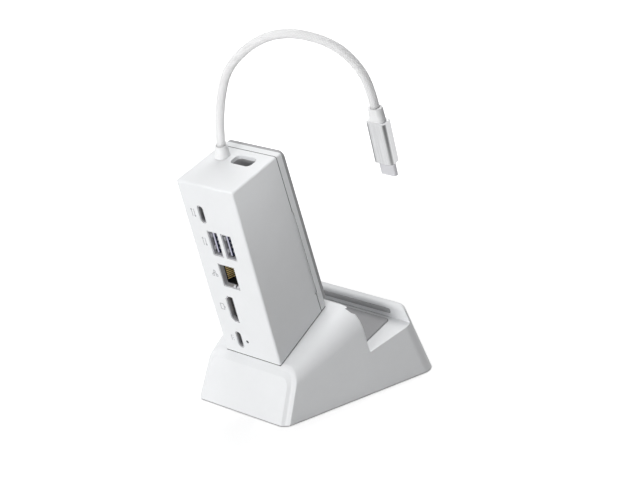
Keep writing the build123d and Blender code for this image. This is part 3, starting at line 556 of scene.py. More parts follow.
class SharedEffect:
    """A node group with values and mostly a vector going in, and masks or heights coming out."""

    def __init__(
        self, name: str, inputs: dict[str, float], outputs: Sequence[str], placed: bool = True
    ) -> None:
        """Makes the empty group.

        Args:
            name: Name of the group.
            inputs: Value inputs, with what they start from.
            outputs: Names of the values that come out.
            placed: Whether a vector goes in, for a pattern that lies at a place on the piece.
        """
        self.tree = bpy.data.node_groups.new(name, "ShaderNodeTree")
        sockets = self.tree.interface
        if placed:
            sockets.new_socket("Vector", in_out="INPUT", socket_type="NodeSocketVector")
        for label, value in inputs.items():
            socket = sockets.new_socket(label, in_out="INPUT", socket_type="NodeSocketFloat")
            socket.default_value = value
        for label in outputs:
            sockets.new_socket(label, in_out="OUTPUT", socket_type="NodeSocketFloat")
        self.graph = Graph(self.tree)
        self.entry = self.graph.add("NodeGroupInput")

    def take(self, label: str) -> Socket:
        """What goes into the group under a name."""
        return self.entry.outputs[label]

    def noise(self, scale: object, detail: float, vector: Optional[Socket] = None) -> Socket:
        """Adds a noise that reads the group's vector, or another one."""
        place = vector or self.take("Vector")
        return self.graph.add("ShaderNodeTexNoise", Scale=scale, Detail=detail, Vector=place).outputs["Fac"]

    def put_out(self, **values: Socket) -> None:
        """Links values to the group's outputs."""
        self.graph.add("NodeGroupOutput", **values)

    def add_to(self, surface: Graph, **values: object) -> bpy.types.NodeOutputs:
        """Adds the effect to a material, with values for its inputs, and gives its outputs."""
        return surface.add("ShaderNodeGroup", node_tree=self.tree, **values).outputs

    def lay_on(self, surface: Graph, lean: float = 0.0, **values: object) -> bpy.types.NodeOutputs:
        """Lays the effect on a material, on the piece's own coordinates.

        Args:
            surface: The material's nodes.
            lean: Angle that stands the pattern upright on a piece that leans forward, in degrees.
            **values: Values of the effect's inputs in this material.

        Returns:
            The effect's outputs.
        """
        turn = (math.radians(-lean), 0.0, 0.0)
        upright = surface.add("ShaderNodeMapping", Vector=surface.here(), Rotation=turn)
        return self.add_to(surface, Vector=upright.outputs["Vector"], **values)


Effects = dict[str, SharedEffect]


def moulded_grain(cell_share: float = 0.6, slow_share: float = 0.7, quicker: float = 9.0) -> SharedEffect:
    """Skin of a moulded surface: spark-eroded pits, and a slow mottle of tone and gloss.

    Pits are the near ends of a cell pattern mixed with a fine noise. The mottle is a noise of a few
    millimetres laid over one of a few centimetres.

    Args:
        cell_share: Share of the cells in the pits.
        slow_share: Share of the wider noise in the mottle.
        quicker: How many times finer the mottle's other noise is.

    Returns:
        The effect.
    """
    effect = SharedEffect("moulded_grain", {"Grains": 2500.0, "Patches": 60.0}, ["Grain", "Mottle"])
    graph = effect.graph
    grains, patches = effect.take("Grains"), effect.take("Patches")
    cells = graph.add("ShaderNodeTexVoronoi", feature="SMOOTH_F1", Smoothness=0.6, Scale=grains,
                      Vector=effect.take("Vector"))
    grain = graph.blend(cells.outputs["Distance"], effect.noise(grains, detail=2.0), cell_share)
    slow = effect.noise(patches, detail=3.0)
    quick = effect.noise(graph.math("MULTIPLY", patches, quicker), detail=2.0)
    mottle = graph.ramp(graph.blend(slow, quick, slow_share), ends=(-0.5, 1.5))
    effect.put_out(Grain=grain, Mottle=mottle)
    return effect


def drawn_lines(haze: float = 250.0) -> SharedEffect:
    """Marks that rolling, drawing or brushing leaves on metal: a noise stretched along one way.

    The vector is multiplied by a different number on each axis, so the noise runs out into long lines.

    Args:
        haze: Scale of the slow change of gloss.

    Returns:
        The effect.
    """
    names = {"Across": 6000.0, "Deep": 200.0, "Up": 6000.0}
    effect = SharedEffect("drawn_lines", names, ["Lines", "Haze"])
    graph = effect.graph
    across, deep, up = (effect.take(label) for label in names)
    scale = graph.add("ShaderNodeCombineXYZ", X=across, Y=deep, Z=up)
    stretch = graph.add("ShaderNodeVectorMath", operation="MULTIPLY", Vector=effect.take("Vector"))
    graph.put(scale.outputs["Vector"], stretch.inputs[1])
    lines = effect.noise(1.0, detail=3.0, vector=stretch.outputs["Vector"])
    effect.put_out(Lines=graph.ramp(lines, ends=(-0.4, 1.4)), Haze=effect.noise(haze, detail=2.0))
    return effect


def seam_depth() -> SharedEffect:
    """How deep a spot lies in a seam or a mouth: the share of its view that is shut off within a reach.

    The depth is zero where the share is at most the least, and one where it is the most or more.

    Returns:
        The effect.
    """
    names = {"Reach": 0.001, "Least": 0.5, "Most": 0.9}
    effect = SharedEffect("seam_depth", names, ["Depth"], placed=False)
    graph = effect.graph
    view = graph.add("ShaderNodeAmbientOcclusion", samples=16, Distance=effect.take("Reach"))
    shut = graph.math("SUBTRACT", 1.0, view.outputs["AO"])
    limits = (effect.take("Least"), effect.take("Most"))
    effect.put_out(Depth=graph.ramp(shut, ends=(0.0, 1.0), starts=limits))
    return effect


def tones(colour: Colour, change: float) -> tuple[Colour, Colour]:
    """Makes a colour darker and lighter.

    Args:
        colour: The colour.
        change: Share of it that is taken off or added.

    Returns:
        The darker and the lighter colour.
    """
    darker = tuple(part * (1.0 - change) for part in colour)
    lighter = tuple(min(part * (1.0 + change), 1.0) for part in colour)
    return darker, lighter


@dataclass(frozen=True)
class SeamShade:
    """Painted shade in seams and mouths: colour darkened by the share of a spot's view that is shut off
    within a reach.

    It starts at the least share, is full at the most, and is left out up to a height above the table.
    """

    reach: float
    least: float
    most: float
    tone: float
    above: float = 0.0

    def darken(self, graph: Graph, effects: Effects, colour: object) -> Socket:
        """Darkens a colour in the seams, as painted shade.

        Args:
            graph: The material's nodes.
            effects: Shared effects by name.
            colour: The colour on open faces, as a socket or four numbers.

        Returns:
            The colour all over.
        """
        seam = effects["seam_depth"].add_to(graph, Reach=self.reach, Least=self.least, Most=self.most)
        depth = seam["Depth"]
        if self.above:
            height = graph.add("ShaderNodeSeparateXYZ", Vector=graph.here()).outputs["Z"]
            depth = graph.math("MULTIPLY", depth, graph.math("GREATER_THAN", height, self.above))
        # Painted shade: the colour is multiplied towards the dark tone where the view is shut off
        mix = graph.add("ShaderNodeMix", data_type="RGBA", blend_type="MULTIPLY", Factor=depth, A=colour,
                        B=(self.tone, self.tone, self.tone, 1.0))
        return mix.outputs["Result"]


@dataclass(frozen=True)
class FrontRim:
    """Soft step in the band round the foot's front, whose outer part turns back to face forward.

    The front is a plane that leans back from its lower edge at y = edge. The step's height rises smoothly
    over a range of depths behind that plane.
    """

    edge: float
    lean: float = 23.7
    depths: tuple[float, float] = (0.0007, 0.0026)
    height: float = 0.0012

    def normal(self, graph: Graph) -> Socket:
        """Adds the step's normal to a material.

        Args:
            graph: The material's nodes.

        Returns:
            The normal.
        """
        turn = math.radians(self.lean)
        behind = graph.along(graph.here(), (0.0, math.cos(turn), -math.sin(turn)))
        depth = graph.math("SUBTRACT", behind, self.edge * math.cos(turn))
        step = graph.ramp(depth, ends=(0.0, 1.0), starts=self.depths, smooth=True)
        return graph.bump(step, self.height, strength=1.0)


@dataclass(frozen=True)
class MouldedFinish:
    """Moulded plastic or rubber: fine pits, a faint mottle of colour, and gloss that is a little uneven."""

    name: str
    colour: Colour
    roughness: float
    grains: float = 2600.0
    depth: float = 0.00002
    mottle: float = 0.02
    gloss_change: float = 0.06
    specular: float = 0.5
    sheen: float = 0.0
    soak: float = 0.0
    soak_depth: float = 0.001
    # Painted shade in seams and mouths, if any
    seams: Optional[SeamShade] = None
    rim: Optional[FrontRim] = None

    def material(self, effects: Effects) -> bpy.types.Material:
        """Builds the material.

        Args:
            effects: Shared effects by name.

        Returns:
            The material.
        """
        surface = Surface(self.name)
        skin = effects["moulded_grain"].lay_on(surface, Grains=self.grains)
        colour = surface.shade(skin["Mottle"], *tones(self.colour, self.mottle))
        # Painted shade in seams
        if self.seams:
            colour = self.seams.darken(surface, effects, colour)
        gloss = (self.roughness - self.gloss_change, self.roughness + self.gloss_change)
        rim = self.rim.normal(surface) if self.rim else None
        surface.feed(
            Base_Color=colour,
            Roughness=surface.ramp(skin["Mottle"], gloss),
            Normal=surface.bump(skin["Grain"], self.depth, under=rim),
            Specular_IOR_Level=self.specular,
            Sheen_Weight=self.sheen,
        )
        surface.soak(self.soak, self.soak_depth)
        return surface.material


@dataclass(frozen=True)
class MetalFinish:
    """Metal with the lines that its making left, denser across than along, and a haze in its gloss."""

    name: str
    colour: Colour
    roughness: float
    haze: tuple[float, float] = (0.8, 1.25)
    lines: Triple = (5000.0, 250.0, 5000.0)
    depth: float = 0.000008
    contrast: float = 0.10
    metallic: float = 1.0
    lean: float = 0.0
    # Painted shade in seams and mouths, if any
    seams: Optional[SeamShade] = None

    def material(self, effects: Effects) -> bpy.types.Material:
        """Builds the material.

        Args:
            effects: Shared effects by name.

        Returns:
            The material.
        """
        surface = Surface(self.name)
        across, deep, up = self.lines
        drawn = effects["drawn_lines"].lay_on(surface, self.lean, Across=across, Deep=deep, Up=up)
        colour = surface.shade(drawn["Lines"], *tones(self.colour, self.contrast))
        # Painted shade deep in the mouths
        if self.seams:
            colour = self.seams.darken(surface, effects, colour)
        gloss = tuple(self.roughness * part for part in self.haze)
        surface.feed(
            Base_Color=colour,
            Roughness=surface.ramp(drawn["Haze"], gloss),
            Normal=surface.bump(drawn["Lines"], self.depth),
            Metallic=self.metallic,
        )
        return surface.material


@dataclass(frozen=True)
class BraidFinish:
    """White braided sleeve: filaments along each yarn, and painted shade in the gaps between the yarns."""

    name: str
    colour: Colour
    # Colour of the gaps between the yarns, as painted shade
    gap_colour: Colour
    roughness: tuple[float, float] = (0.55, 0.75)
    grains: float = 9000.0
    patches: float = 900.0
    filaments: float = 5.0
    filament_height: float = 0.4
    depth: float = 0.00004
    sheen: float = 0.15
    soak: float = 1.0
    soak_depth: float = 0.006

    def material(self, effects: Effects) -> bpy.types.Material:
        """Builds the material, which reads the braid's own height and yarn attributes.

        Args:
            effects: Shared effects by name.

        Returns:
            The material.
        """
        surface = Surface(self.name)
        height = surface.add("ShaderNodeAttribute", attribute_name=YARN_HEIGHT).outputs["Fac"]
        across = surface.add("ShaderNodeAttribute", attribute_name=YARN_ACROSS).outputs["Fac"]
        wave = surface.math("SINE", surface.math("MULTIPLY", across, self.filaments * 2.0 * math.pi))
        skin = effects["moulded_grain"].lay_on(surface, Grains=self.grains, Patches=self.patches)
        relief = surface.math("ADD", surface.math("MULTIPLY", wave, self.filament_height), skin["Grain"])
        surface.feed(
            # Painted shade: darker colour where the braid lies low between the yarns
            Base_Color=surface.shade(height, self.gap_colour, self.colour),
            Roughness=surface.ramp(skin["Mottle"], self.roughness),
            Normal=surface.bump(relief, self.depth),
            Sheen_Weight=self.sheen,
        )
        surface.soak(self.soak, self.soak_depth)
        return surface.material


@dataclass(frozen=True)
class BoardFinish:
    """Circuit board: copper runs under a green lacquer, seen as lighter lines."""

    name: str
    colour: Colour
    run_colour: Colour
    roughness: tuple[float, float] = (0.3, 0.45)
    grains: float = 3000.0
    runs: float = 700.0
    run_width: float = 0.08
    run_length: float = 2.5
    depth: float = 0.00003

    def material(self, effects: Effects) -> bpy.types.Material:
        """Builds the material.

        Args:
            effects: Shared effects by name.

        Returns:
            The material.
        """
        surface = Surface(self.name)
        upright = (math.radians(90.0), 0.0, 0.0)
        face = surface.add("ShaderNodeMapping", Vector=surface.here(), Rotation=upright)
        bricks = surface.add("ShaderNodeTexBrick", Scale=self.runs, Mortar_Size=self.run_width,
                             Brick_Width=self.run_length, Vector=face.outputs["Vector"])
        runs = bricks.outputs["Fac"]
        skin = effects["moulded_grain"].lay_on(surface, Grains=self.grains)
        surface.feed(
            Base_Color=surface.shade(runs, self.colour, self.run_colour),
            Roughness=surface.ramp(skin["Mottle"], self.roughness),
            Normal=surface.bump(runs, self.depth),
        )
        return surface.material


Finish = MouldedFinish | MetalFinish | BraidFinish | BoardFinish


@dataclass
class Finishes:
    """All the finishes of the dock, by the material slot that they dress."""

    effects: Effects
    foot: str = "base_shell"
    foot_finish: str = "foot_plastic"
    white: Colour = (0.792, 0.803, 0.815)
    # Painted shade: darker colour in the shells' seams and deep in the ports' mouths
    shell_seams: SeamShade = SeamShade(reach=0.003, least=0.52, most=0.70, tone=0.04, above=0.003)
    mouth_shade: SeamShade = SeamShade(reach=0.0045, least=0.62, most=0.92, tone=0.03)

    def __post_init__(self) -> None:
        """Builds each material from the shared effects."""
        looks = self.soft_looks() | self.hard_looks()
        self.materials = {slot: look.material(self.effects) for slot, look in looks.items()}

    def soft_looks(self) -> dict[str, Finish]:
        """Finishes of the shells, the pads, the feet, the lead and the printing.

        Returns:
            The finishes by slot.
        """
        front_rim = FrontRim(edge=float(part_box(self.foot)[0][1]))
        return {
            "white_plastic": MouldedFinish(
                "white_satin_plastic", self.white, roughness=0.42, seams=self.shell_seams
            ),
            self.foot_finish: MouldedFinish(
                "white_foot_plastic", self.white, roughness=0.42, seams=self.shell_seams, rim=front_rim
            ),
            # On the pads this grey is their own colour; on the plug-parking cup it is painted shade in the
            # recess
            "grey_silicone": MouldedFinish(
                "grey_soft_silicone", (0.36, 0.36, 0.37), roughness=0.72, grains=1800.0, depth=0.00004,
                mottle=0.06, sheen=0.15
            ),
            "foot_rubber": MouldedFinish(
                "dark_foot_rubber", (0.035, 0.035, 0.038), roughness=0.8, grains=1500.0, depth=0.00006,
                mottle=0.12, sheen=0.1
            ),
            "white_rubber": MouldedFinish(
                "white_flexible_moulding", (0.80, 0.805, 0.81), roughness=0.5, grains=2200.0, depth=0.00003,
                soak=0.4
            ),
            "lead_braid": BraidFinish("white_braid", (0.89, 0.89, 0.895), (0.65, 0.65, 0.66)),
            "printed_mark": MouldedFinish(
                "grey_print", (0.40, 0.40, 0.42), roughness=0.6, grains=6000.0, mottle=0.08
            ),
        }

    def hard_looks(self) -> dict[str, Finish]:
        """Finishes of the ports, the plug, the inside and the screws.

        Returns:
            The finishes by slot.
        """
        return {
            # Tinned steel, with painted shade deep in the mouths
            "port_steel": MetalFinish(
                "tinned_port_steel", (0.66, 0.66, 0.685), roughness=0.5, metallic=0.4, seams=self.mouth_shade
            ),
            "plug_aluminium": MetalFinish(
                "brushed_plug_aluminium", (0.72, 0.725, 0.735), roughness=0.20, lines=(2600.0, 2600.0, 40.0),
                contrast=0.12, lean=13.5
            ),
            "port_black": MouldedFinish(
                "black_port_insert", (0.012, 0.012, 0.013), roughness=0.5, grains=4000.0, specular=0.15
            ),
            "port_blue": MouldedFinish(
                "navy_port_insert", (0.03, 0.035, 0.08), roughness=0.42, grains=4000.0, mottle=0.08,
                specular=0.2
            ),
            # Lilac strip on the blades' front edges: a painted highlight where the edge catches the light
            "tongue_nose": MouldedFinish(
                "lilac_tongue_nose", (0.48, 0.48, 0.58), roughness=0.45, grains=4000.0
            ),
            "contact_gold": MetalFinish("gold_contacts", (0.92, 0.68, 0.28), roughness=0.35, metallic=0.7),
            "light_pipe": MouldedFinish("smoky_light_pipe", (0.10, 0.10, 0.11), roughness=0.2, mottle=0.1),
            "board_green": BoardFinish("green_board", (0.012, 0.10, 0.045), (0.03, 0.19, 0.09)),
            "chip_black": MouldedFinish(
                "black_chip", (0.022, 0.022, 0.024), roughness=0.6, grains=5000.0, mottle=0.1
            ),
            "weight_steel": MouldedFinish(
                "coated_weight", (0.05, 0.052, 0.056), roughness=0.45, grains=1500.0, mottle=0.1
            ),
            "screw_steel": MetalFinish("plated_screws", (0.60, 0.60, 0.62), roughness=0.32),
        }

    def dress_node(self, node: bpy.types.Object) -> None:
        """Gives a solid the finish of its slot, or the foot's own.

        Args:
            node: The solid.
        """
        for slot in node.material_slots:
            finish = self.foot_finish if node.name == self.foot else slot.material.name
            slot.material = self.materials[finish]

    def fit(self, piece: bpy.types.Object, finish: str, slot: str, *replaced: str) -> None:
        """Gives a new piece its finish and seats it on the dock."""
        piece.data.materials.append(self.materials[finish])
        seat(piece, slot, *replaced)


# Sub-assemblies


@dataclass
class Lead:
    """Short captive lead in a braided sleeve, from its collar on the hub to the plug's boot."""

    hub: HubFrame
    place: tuple[float, float] = (-0.0085, 0.0230)
    hub_height: float = 0.0938
    bearing: float = 17.4
    diameter: float = 0.0041
    length: float = 0.1385
    yarns: int = 10
    yarn_relief: float = 0.0002
    # How round a yarn's top is, and how far it rises and dips along the yarn
    yarn_round: float = 3.4
    yarn_weave: float = 0.5
    around: int = 60
    # Route along the bearing and above the hub's top
    route: tuple[tuple[float, float], ...] = (
        (0.0, 0.0005), (0.0016, 0.0117), (0.0068, 0.0292), (0.0143, 0.0447), (0.0308, 0.0572),
        (0.0473, 0.0607), (0.0648, 0.0550), (0.0736, 0.0449), (0.0772, 0.0334), (0.0772, 0.0216),
    )
    route_steps: int = 120
    route_order: int = 3
    plug: tuple[str, ...] = ("plug_boot", "plug_sleeve", "plug_tip", "plug_tip_insert")

    def spline_points(self) -> np.ndarray:
        """Points of the smooth line whose control points are the route's.

        Returns:
            Array of points in the dock's frame.
        """
        run, rise = np.array(self.route).T
        turn = math.radians(self.bearing)
        controls = columns(self.place[0] + run * math.cos(turn), self.place[1] + run * math.sin(turn),
                           self.hub_height + rise)
        curve = bpy.data.curves.new("lead_route", "CURVE")
        curve.dimensions = "3D"
        curve.resolution_u = self.route_steps
        spline = curve.splines.new("NURBS")
        spline.points.add(len(controls) - 1)
        weighted = np.concatenate([self.hub.world(controls), np.ones((len(controls), 1))], axis=1)
        spline.points.foreach_set("co", weighted.ravel())
        spline.order_u = self.route_order
        spline.use_endpoint_u = True
        carrier = bpy.data.objects.new("lead_route", curve)
        bpy.context.scene.collection.objects.link(carrier)
        line = bpy.data.meshes.new_from_object(carrier)
        points = mesh_corners(line)
        bpy.data.objects.remove(carrier)
        bpy.data.meshes.remove(line)
        return points

    def yarn_tops(self, own: np.ndarray, other: np.ndarray, rise: float) -> tuple[np.ndarray, np.ndarray]:
        """Tops of one of the two sets of yarns.

        A yarn's top is a half circle across it. It rises and dips as cos(pi other) along it, with every
        second yarn the other way up.

        Args:
            own: Place counted in yarns of this set.
            other: Place counted in yarns of the other set.
            rise: One if the first yarn starts high, minus one if it starts low.

        Returns:
            Height of the top, and place across the yarn from minus a half to a half.
        """
        nearest = np.round(own)
        across = own - nearest
        weave = rise * self.yarn_weave * np.cos(math.pi * (other + nearest))
        return np.sqrt(1.0 - self.yarn_round * across ** 2) + weave, across

    def yarn_field(self, along: np.ndarray, angle: np.ndarray) -> tuple[np.ndarray, np.ndarray]:
        """Height of a plain braid, and the place across the yarn on top.

        One set of yarns winds right, n angle / 2 pi + s / pitch, and one left, the same with a minus sign.
        The higher of the two sets shows.

        Args:
            along: Distance along the lead of each ring.
            angle: Angle of each point round the lead, in radians.

        Returns:
            Height from zero to one, and place across the yarn from minus a half to a half.
        """
        pitch = math.pi * self.diameter / self.yarns
        wind = self.yarns * angle[None, :] / (2.0 * math.pi)
        right = wind + along[:, None] / pitch
        left = wind - along[:, None] / pitch
        right_top, right_across = self.yarn_tops(right, left, rise=1.0)
        left_top, left_across = self.yarn_tops(left, right, rise=-1.0)
        height = np.maximum(right_top, left_top)
        across = np.where(right_top > left_top, right_across, left_across)
        low, high = height.min(), height.max()
        return (height - low) / (high - low), across

    def build(self, finishes: Finishes) -> bpy.types.Object:
        """A ring is line + r (cos a normal + sin a binormal), where r is the radius less the braid's relief.

        Args:
            finishes: All the finishes.

        Returns:
            The lead.
        """
        line = self.spline_points()
        steps = np.linalg.norm(np.diff(line, axis=0), axis=1)
        along = np.concatenate([[0.0], np.cumsum(steps)])
        tangent = unit(np.gradient(line, axis=0))
        turn = math.radians(self.bearing)
        sideways = self.hub.way([-math.sin(turn), math.cos(turn), 0.0])
        normal = unit(np.cross(sideways, tangent))
        binormal = np.cross(tangent, normal)
        angle = round_angles(self.around)
        height, across = self.yarn_field(along, angle)
        radius = (self.diameter / 2.0 - self.yarn_relief * (1.0 - height))[:, :, None]
        ring = normal[:, None] * np.cos(angle)[:, None] + binormal[:, None] * np.sin(angle)[:, None]
        grid = line[:, None] + radius * ring
        lead = closed_piece("braided_lead", grid[None], line[:1], line[-1:], sharp=80.0)
        # Both attributes say a half at the two poles
        poles = np.full(2, 0.5)
        for name, values in ((YARN_HEIGHT, height), (YARN_ACROSS, across)):
            attribute = lead.data.attributes.new(name, "FLOAT", "POINT")
            attribute.data.foreach_set("value", np.concatenate([values.ravel(), poles]).astype(np.float32))
        finishes.fit(lead, "lead_braid", "lead_braid", "cable_lead")
        return lead


@dataclass(frozen=True)
class PadShape:
    """A pad's solid, radius of corners and rolled edge, extra lean in degrees, and way of its face."""

    node: str
    corner: float
    roll: float
    lean: float = 0.0
    facing: float = 1.0


@dataclass
class SoftPads:
    """Silicone pads of the back, the ledge and the lip: crowned, with rolled edges."""

    hub: HubFrame
    finish: str = "grey_silicone"
    crown: float = 0.0002
    pads: tuple[PadShape, ...] = (
        PadShape("back_cushion", corner=0.003, roll=0.0005, lean=2.0),
        PadShape("ledge_pad", corner=0.002, roll=0.0007),
        PadShape("lip_pad", corner=0.0008, roll=0.0007, facing=-1.0),
    )
    side_points: int = 24
    corner_points: int = 10
    edge_rings: int = 7
    face_rings: int = 14
    # Size of the rings next to the poles
    pole_share: float = 0.04

    def pad(self, shape: PadShape) -> bpy.types.Object:
        """Builds one pad in the room of its solid.

        A point is scale * (outline - inset * outward), at a height. The rings run from the middle of the
        back over a quarter-round edge, inset = roll (1 - cos q) and height = thick - roll (1 - sin q), to
        the middle of a face that is crowned by 1 - scale squared.

        Args:
            shape: The pad's solid, corners, edge and way.

        Returns:
            The pad.
        """
        carrier = self.hub.leaned(shape.lean)
        low, high = carrier.node_box(shape.node)
        upright = high[1] - low[1] < high[2] - low[2]
        # Axes across the pad, along it and out of its face, and back again
        order = [0, 2, 1] if upright else [0, 1, 2]
        low, high = low[order], high[order]
        middle = (low + high) / 2.0
        width, length, thick = high - low
        outline = rounded_outline(width, length, shape.corner, self.side_points, self.corner_points)
        quarter = quarter_angles(self.edge_rings)
        fill = np.linspace(1.0, self.pole_share, self.face_rings)
        back, face = np.zeros(len(fill)), fill[1:]
        scale = np.concatenate([fill[::-1], np.ones(len(quarter)), face])
        inset = np.concatenate([back, shape.roll * (1.0 - np.cos(quarter)), np.full(len(face), shape.roll)])
        edge_height = thick - self.crown - shape.roll * (1.0 - np.sin(quarter))
        face_height = thick - self.crown + self.crown * (1.0 - face ** 2)
        height = np.concatenate([back, edge_height, face_height])
        spot = scale[:, None, None] * (outline[:, :2] - inset[:, None, None] * outline[:, 2:])
        base = low[2] if shape.facing > 0 else high[2]
        lift = base + shape.facing * height[:, None]
        grid = carrier.world(columns(middle[0] + spot[..., 0], middle[1] + spot[..., 1], lift)[..., order])
        ends = base + shape.facing * np.array([0.0, thick])
        poles = carrier.world(columns(middle[0], middle[1], ends)[:, order])
        if (shape.facing > 0) == upright:
            grid = grid[:, ::-1]
        return closed_piece(shape.node + "_soft", grid[None], poles[:1], poles[1:], sharp=60.0)

    def build(self, finishes: Finishes) -> None:
        """Builds and dresses every pad."""
        for shape in self.pads:
            finishes.fit(self.pad(shape), self.finish, self.finish, shape.node)


@dataclass
class PortFittings:
    """Contacts, springs and printed marks of the ports."""

    hub: HubFrame
    finishes: Finishes
    usb_a_places: tuple[float, ...] = (-0.0035, -0.0010, 0.0010, 0.0035)
    usb_a_contact: Strip = Strip(0.0012, 0.00012, length=0.0065, start=0.0006)
    usb_c_count: int = 12
    usb_c_pitch: float = 0.0005
    usb_c_contact: Strip = Strip(0.00026, 0.00006, length=0.0040, start=0.0006)
    hdmi_counts: tuple[tuple[Side, int], ...] = ((Side.LEFT, 9), (Side.RIGHT, 10))
    hdmi_pitch: float = 0.0010
    hdmi_contact: Strip = Strip(0.00045, 0.00008, length=0.0050, start=0.0006)
    # Depth within which a blade's front edge is measured
    blade_front: float = 0.0002
    # Inset from the blade's ends, and thickness, of the painted highlight along its front edge
    nose_end: float = 0.0002
    nose_thick: float = 0.0002
    shell_wall: float = 0.00035
    wall_spring: Strip = Strip(0.0022, 0.00025, length=0.0055, start=0.0012, bow=0.0006, rings=17)
    wall_spread: float = 0.0032
    net_spring: Strip = Strip(0.0013, 0.00020, length=0.0020, start=0.0003, bow=0.0006, rings=17)
    net_wall: float = 0.0003
    net_places: tuple[float, ...] = (0.0012, 0.0032)
    mark_unit: float = 0.00052
    mark_line: Strip = Strip(0.00038, 0.00003, rings=3)
    mark_gap: float = 0.0022

    def lay(
        self,
        name: str,
        strip: Strip,
        starts: np.ndarray,
        ends: np.ndarray,
        side: Side,
        finish: str,
        slot: str,
    ) -> None:
        """Lays strips on one side of a piece and dresses them, with their ends in the hub's frame."""
        piece = strip.lay(name, self.hub.world(starts), self.hub.world(ends), self.hub.way(side.way()))
        self.finishes.fit(piece, finish, slot)

    def run_in(self, name: str, strip: Strip, places: np.ndarray, side: Side, finish: str) -> None:
        """Lays strips that run straight in, from places in the plane of a port's mouth."""
        starts = places + strip.start * Side.BACK.way()
        self.lay(name, strip, starts, starts + strip.length * Side.BACK.way(), side, finish, finish)

    def contacts(self, node: str, offsets: np.ndarray, strip: Strip, side: Side, finish: str) -> None:
        """Lays contact strips on one face of a port's blade.

        Args:
            node: Name of the port's insert.
            offsets: Place of each strip along the blade, from its middle.
            strip: Sizes of a strip.
            side: Face of the blade.
            finish: Finish of the strips.
        """
        low, high = self.hub.node_box(node, front_only=self.blade_front)
        face = high[0] if side is Side.RIGHT else low[0]
        places = columns(face, low[1], (low[2] + high[2]) / 2.0 + offsets)
        self.run_in(node.replace("_tongue", "_contacts_") + side.name.lower(), strip, places, side, finish)

    def row(self, node: str, count: int, pitch: float, strip: Strip, side: Side) -> None:
        """Lays a row of gold contacts, evenly spaced, on one face of a port's blade."""
        offsets = (np.arange(count) - (count - 1) / 2.0) * pitch
        self.contacts(node, offsets, strip, side, "contact_gold")

    def nose(self, node: str) -> None:
        """Lays a pale lilac strip along the front edge of a port's blade: a painted highlight where the edge
        catches the light.

        Args:
            node: Name of the port's insert.
        """
        low, high = self.hub.node_box(node, front_only=self.blade_front)
        strip = Strip(high[0] - low[0] - self.nose_end, self.nose_thick)
        heights = np.array([low[2] + self.nose_end, high[2] - self.nose_end])
        ends = columns((low[0] + high[0]) / 2.0, low[1], heights)
        name = node.replace("_tongue", "_nose")
        self.lay(name, strip, ends[:1], ends[1:], Side.FRONT, "tongue_nose", "port_blue")

    def springs(self, name: str, spring: Strip, places: np.ndarray, side: Side) -> None:
        """Sets bowed leaf springs on the inside of a port's shell, from places on the wall's front edge."""
        self.run_in(name, spring, places + spring.thick / 2.0 * side.way(), side, "port_steel")

    def wall_springs(self, node: str) -> None:
        """Sets two springs on each long wall of a shell.

        Args:
            node: Name of the shell.
        """
        low, high = self.hub.node_box(node)
        heights = (low[2] + high[2]) / 2.0 + self.wall_spread * np.array([-1.0, 1.0])
        for side, wall in ((Side.LEFT, high[0] - self.shell_wall), (Side.RIGHT, low[0] + self.shell_wall)):
            name = node.replace("_shell", "_springs_") + side.name.lower()
            self.springs(name, self.wall_spring, columns(wall, low[1], heights), side)

    def net_floor_springs(self, node: str) -> None:
        """Sets earth springs on the floor of the network port's mouth.

        Args:
            node: Name of the port's shield.
        """
        low, high = self.hub.node_box(node)
        across = (low[0] + high[0]) / 2.0 + np.array(self.net_places)
        places = columns(across, low[1], low[2] + self.net_wall)
        self.springs("ethernet_springs", self.net_spring, places, Side.TOP)

    def mark(self, port: str, shape: Mark) -> None:
        """Prints a pictogram on the hub's front, to the left of a port.

        Args:
            port: Name of the port's shell.
            shape: The pictogram.
        """
        low, high = self.hub.node_box(port)
        strokes = np.array(shape.value, float) * self.mark_unit
        reach = np.abs(strokes[:, [0, 2]]).max()
        across = low[0] - self.mark_gap - reach
        up = (low[2] + high[2]) / 2.0
        starts = columns(across + strokes[:, 0], 0.0, up + strokes[:, 1])
        ends = columns(across + strokes[:, 2], 0.0, up + strokes[:, 3])
        name = port.rsplit("_", 1)[0] + "_mark"
        self.lay(name, self.mark_line, starts, ends, Side.FRONT, "printed_mark", "white_plastic")

    def build(self) -> None:
        """Builds the fittings of every port."""
        self.net_floor_springs("ethernet_shield")
        for port in ("usb_a_left", "usb_a_right"):
            places = np.array(self.usb_a_places)
            self.contacts(port + "_tongue", places, self.usb_a_contact, Side.RIGHT, "port_steel")
            # Painted highlight along the blade's front edge
            self.nose(port + "_tongue")
            self.wall_springs(port + "_shell")
        for port in ("usb_c_data", "usb_c_power"):
            for side in (Side.LEFT, Side.RIGHT):
                self.row(port + "_tongue", self.usb_c_count, self.usb_c_pitch, self.usb_c_contact, side)
        for side, count in self.hdmi_counts:
            self.row("hdmi_tongue", count, self.hdmi_pitch, self.hdmi_contact, side)
        marks = {
            "usb_c_data_shell": Mark.DATA,
            "usb_a_left_shell": Mark.DATA,
            "ethernet_shield": Mark.NETWORK,
            "hdmi_shell": Mark.SCREEN,
            "usb_c_power_shell": Mark.POWER,
        }
        for port, shape in marks.items():
            self.mark(port, shape)


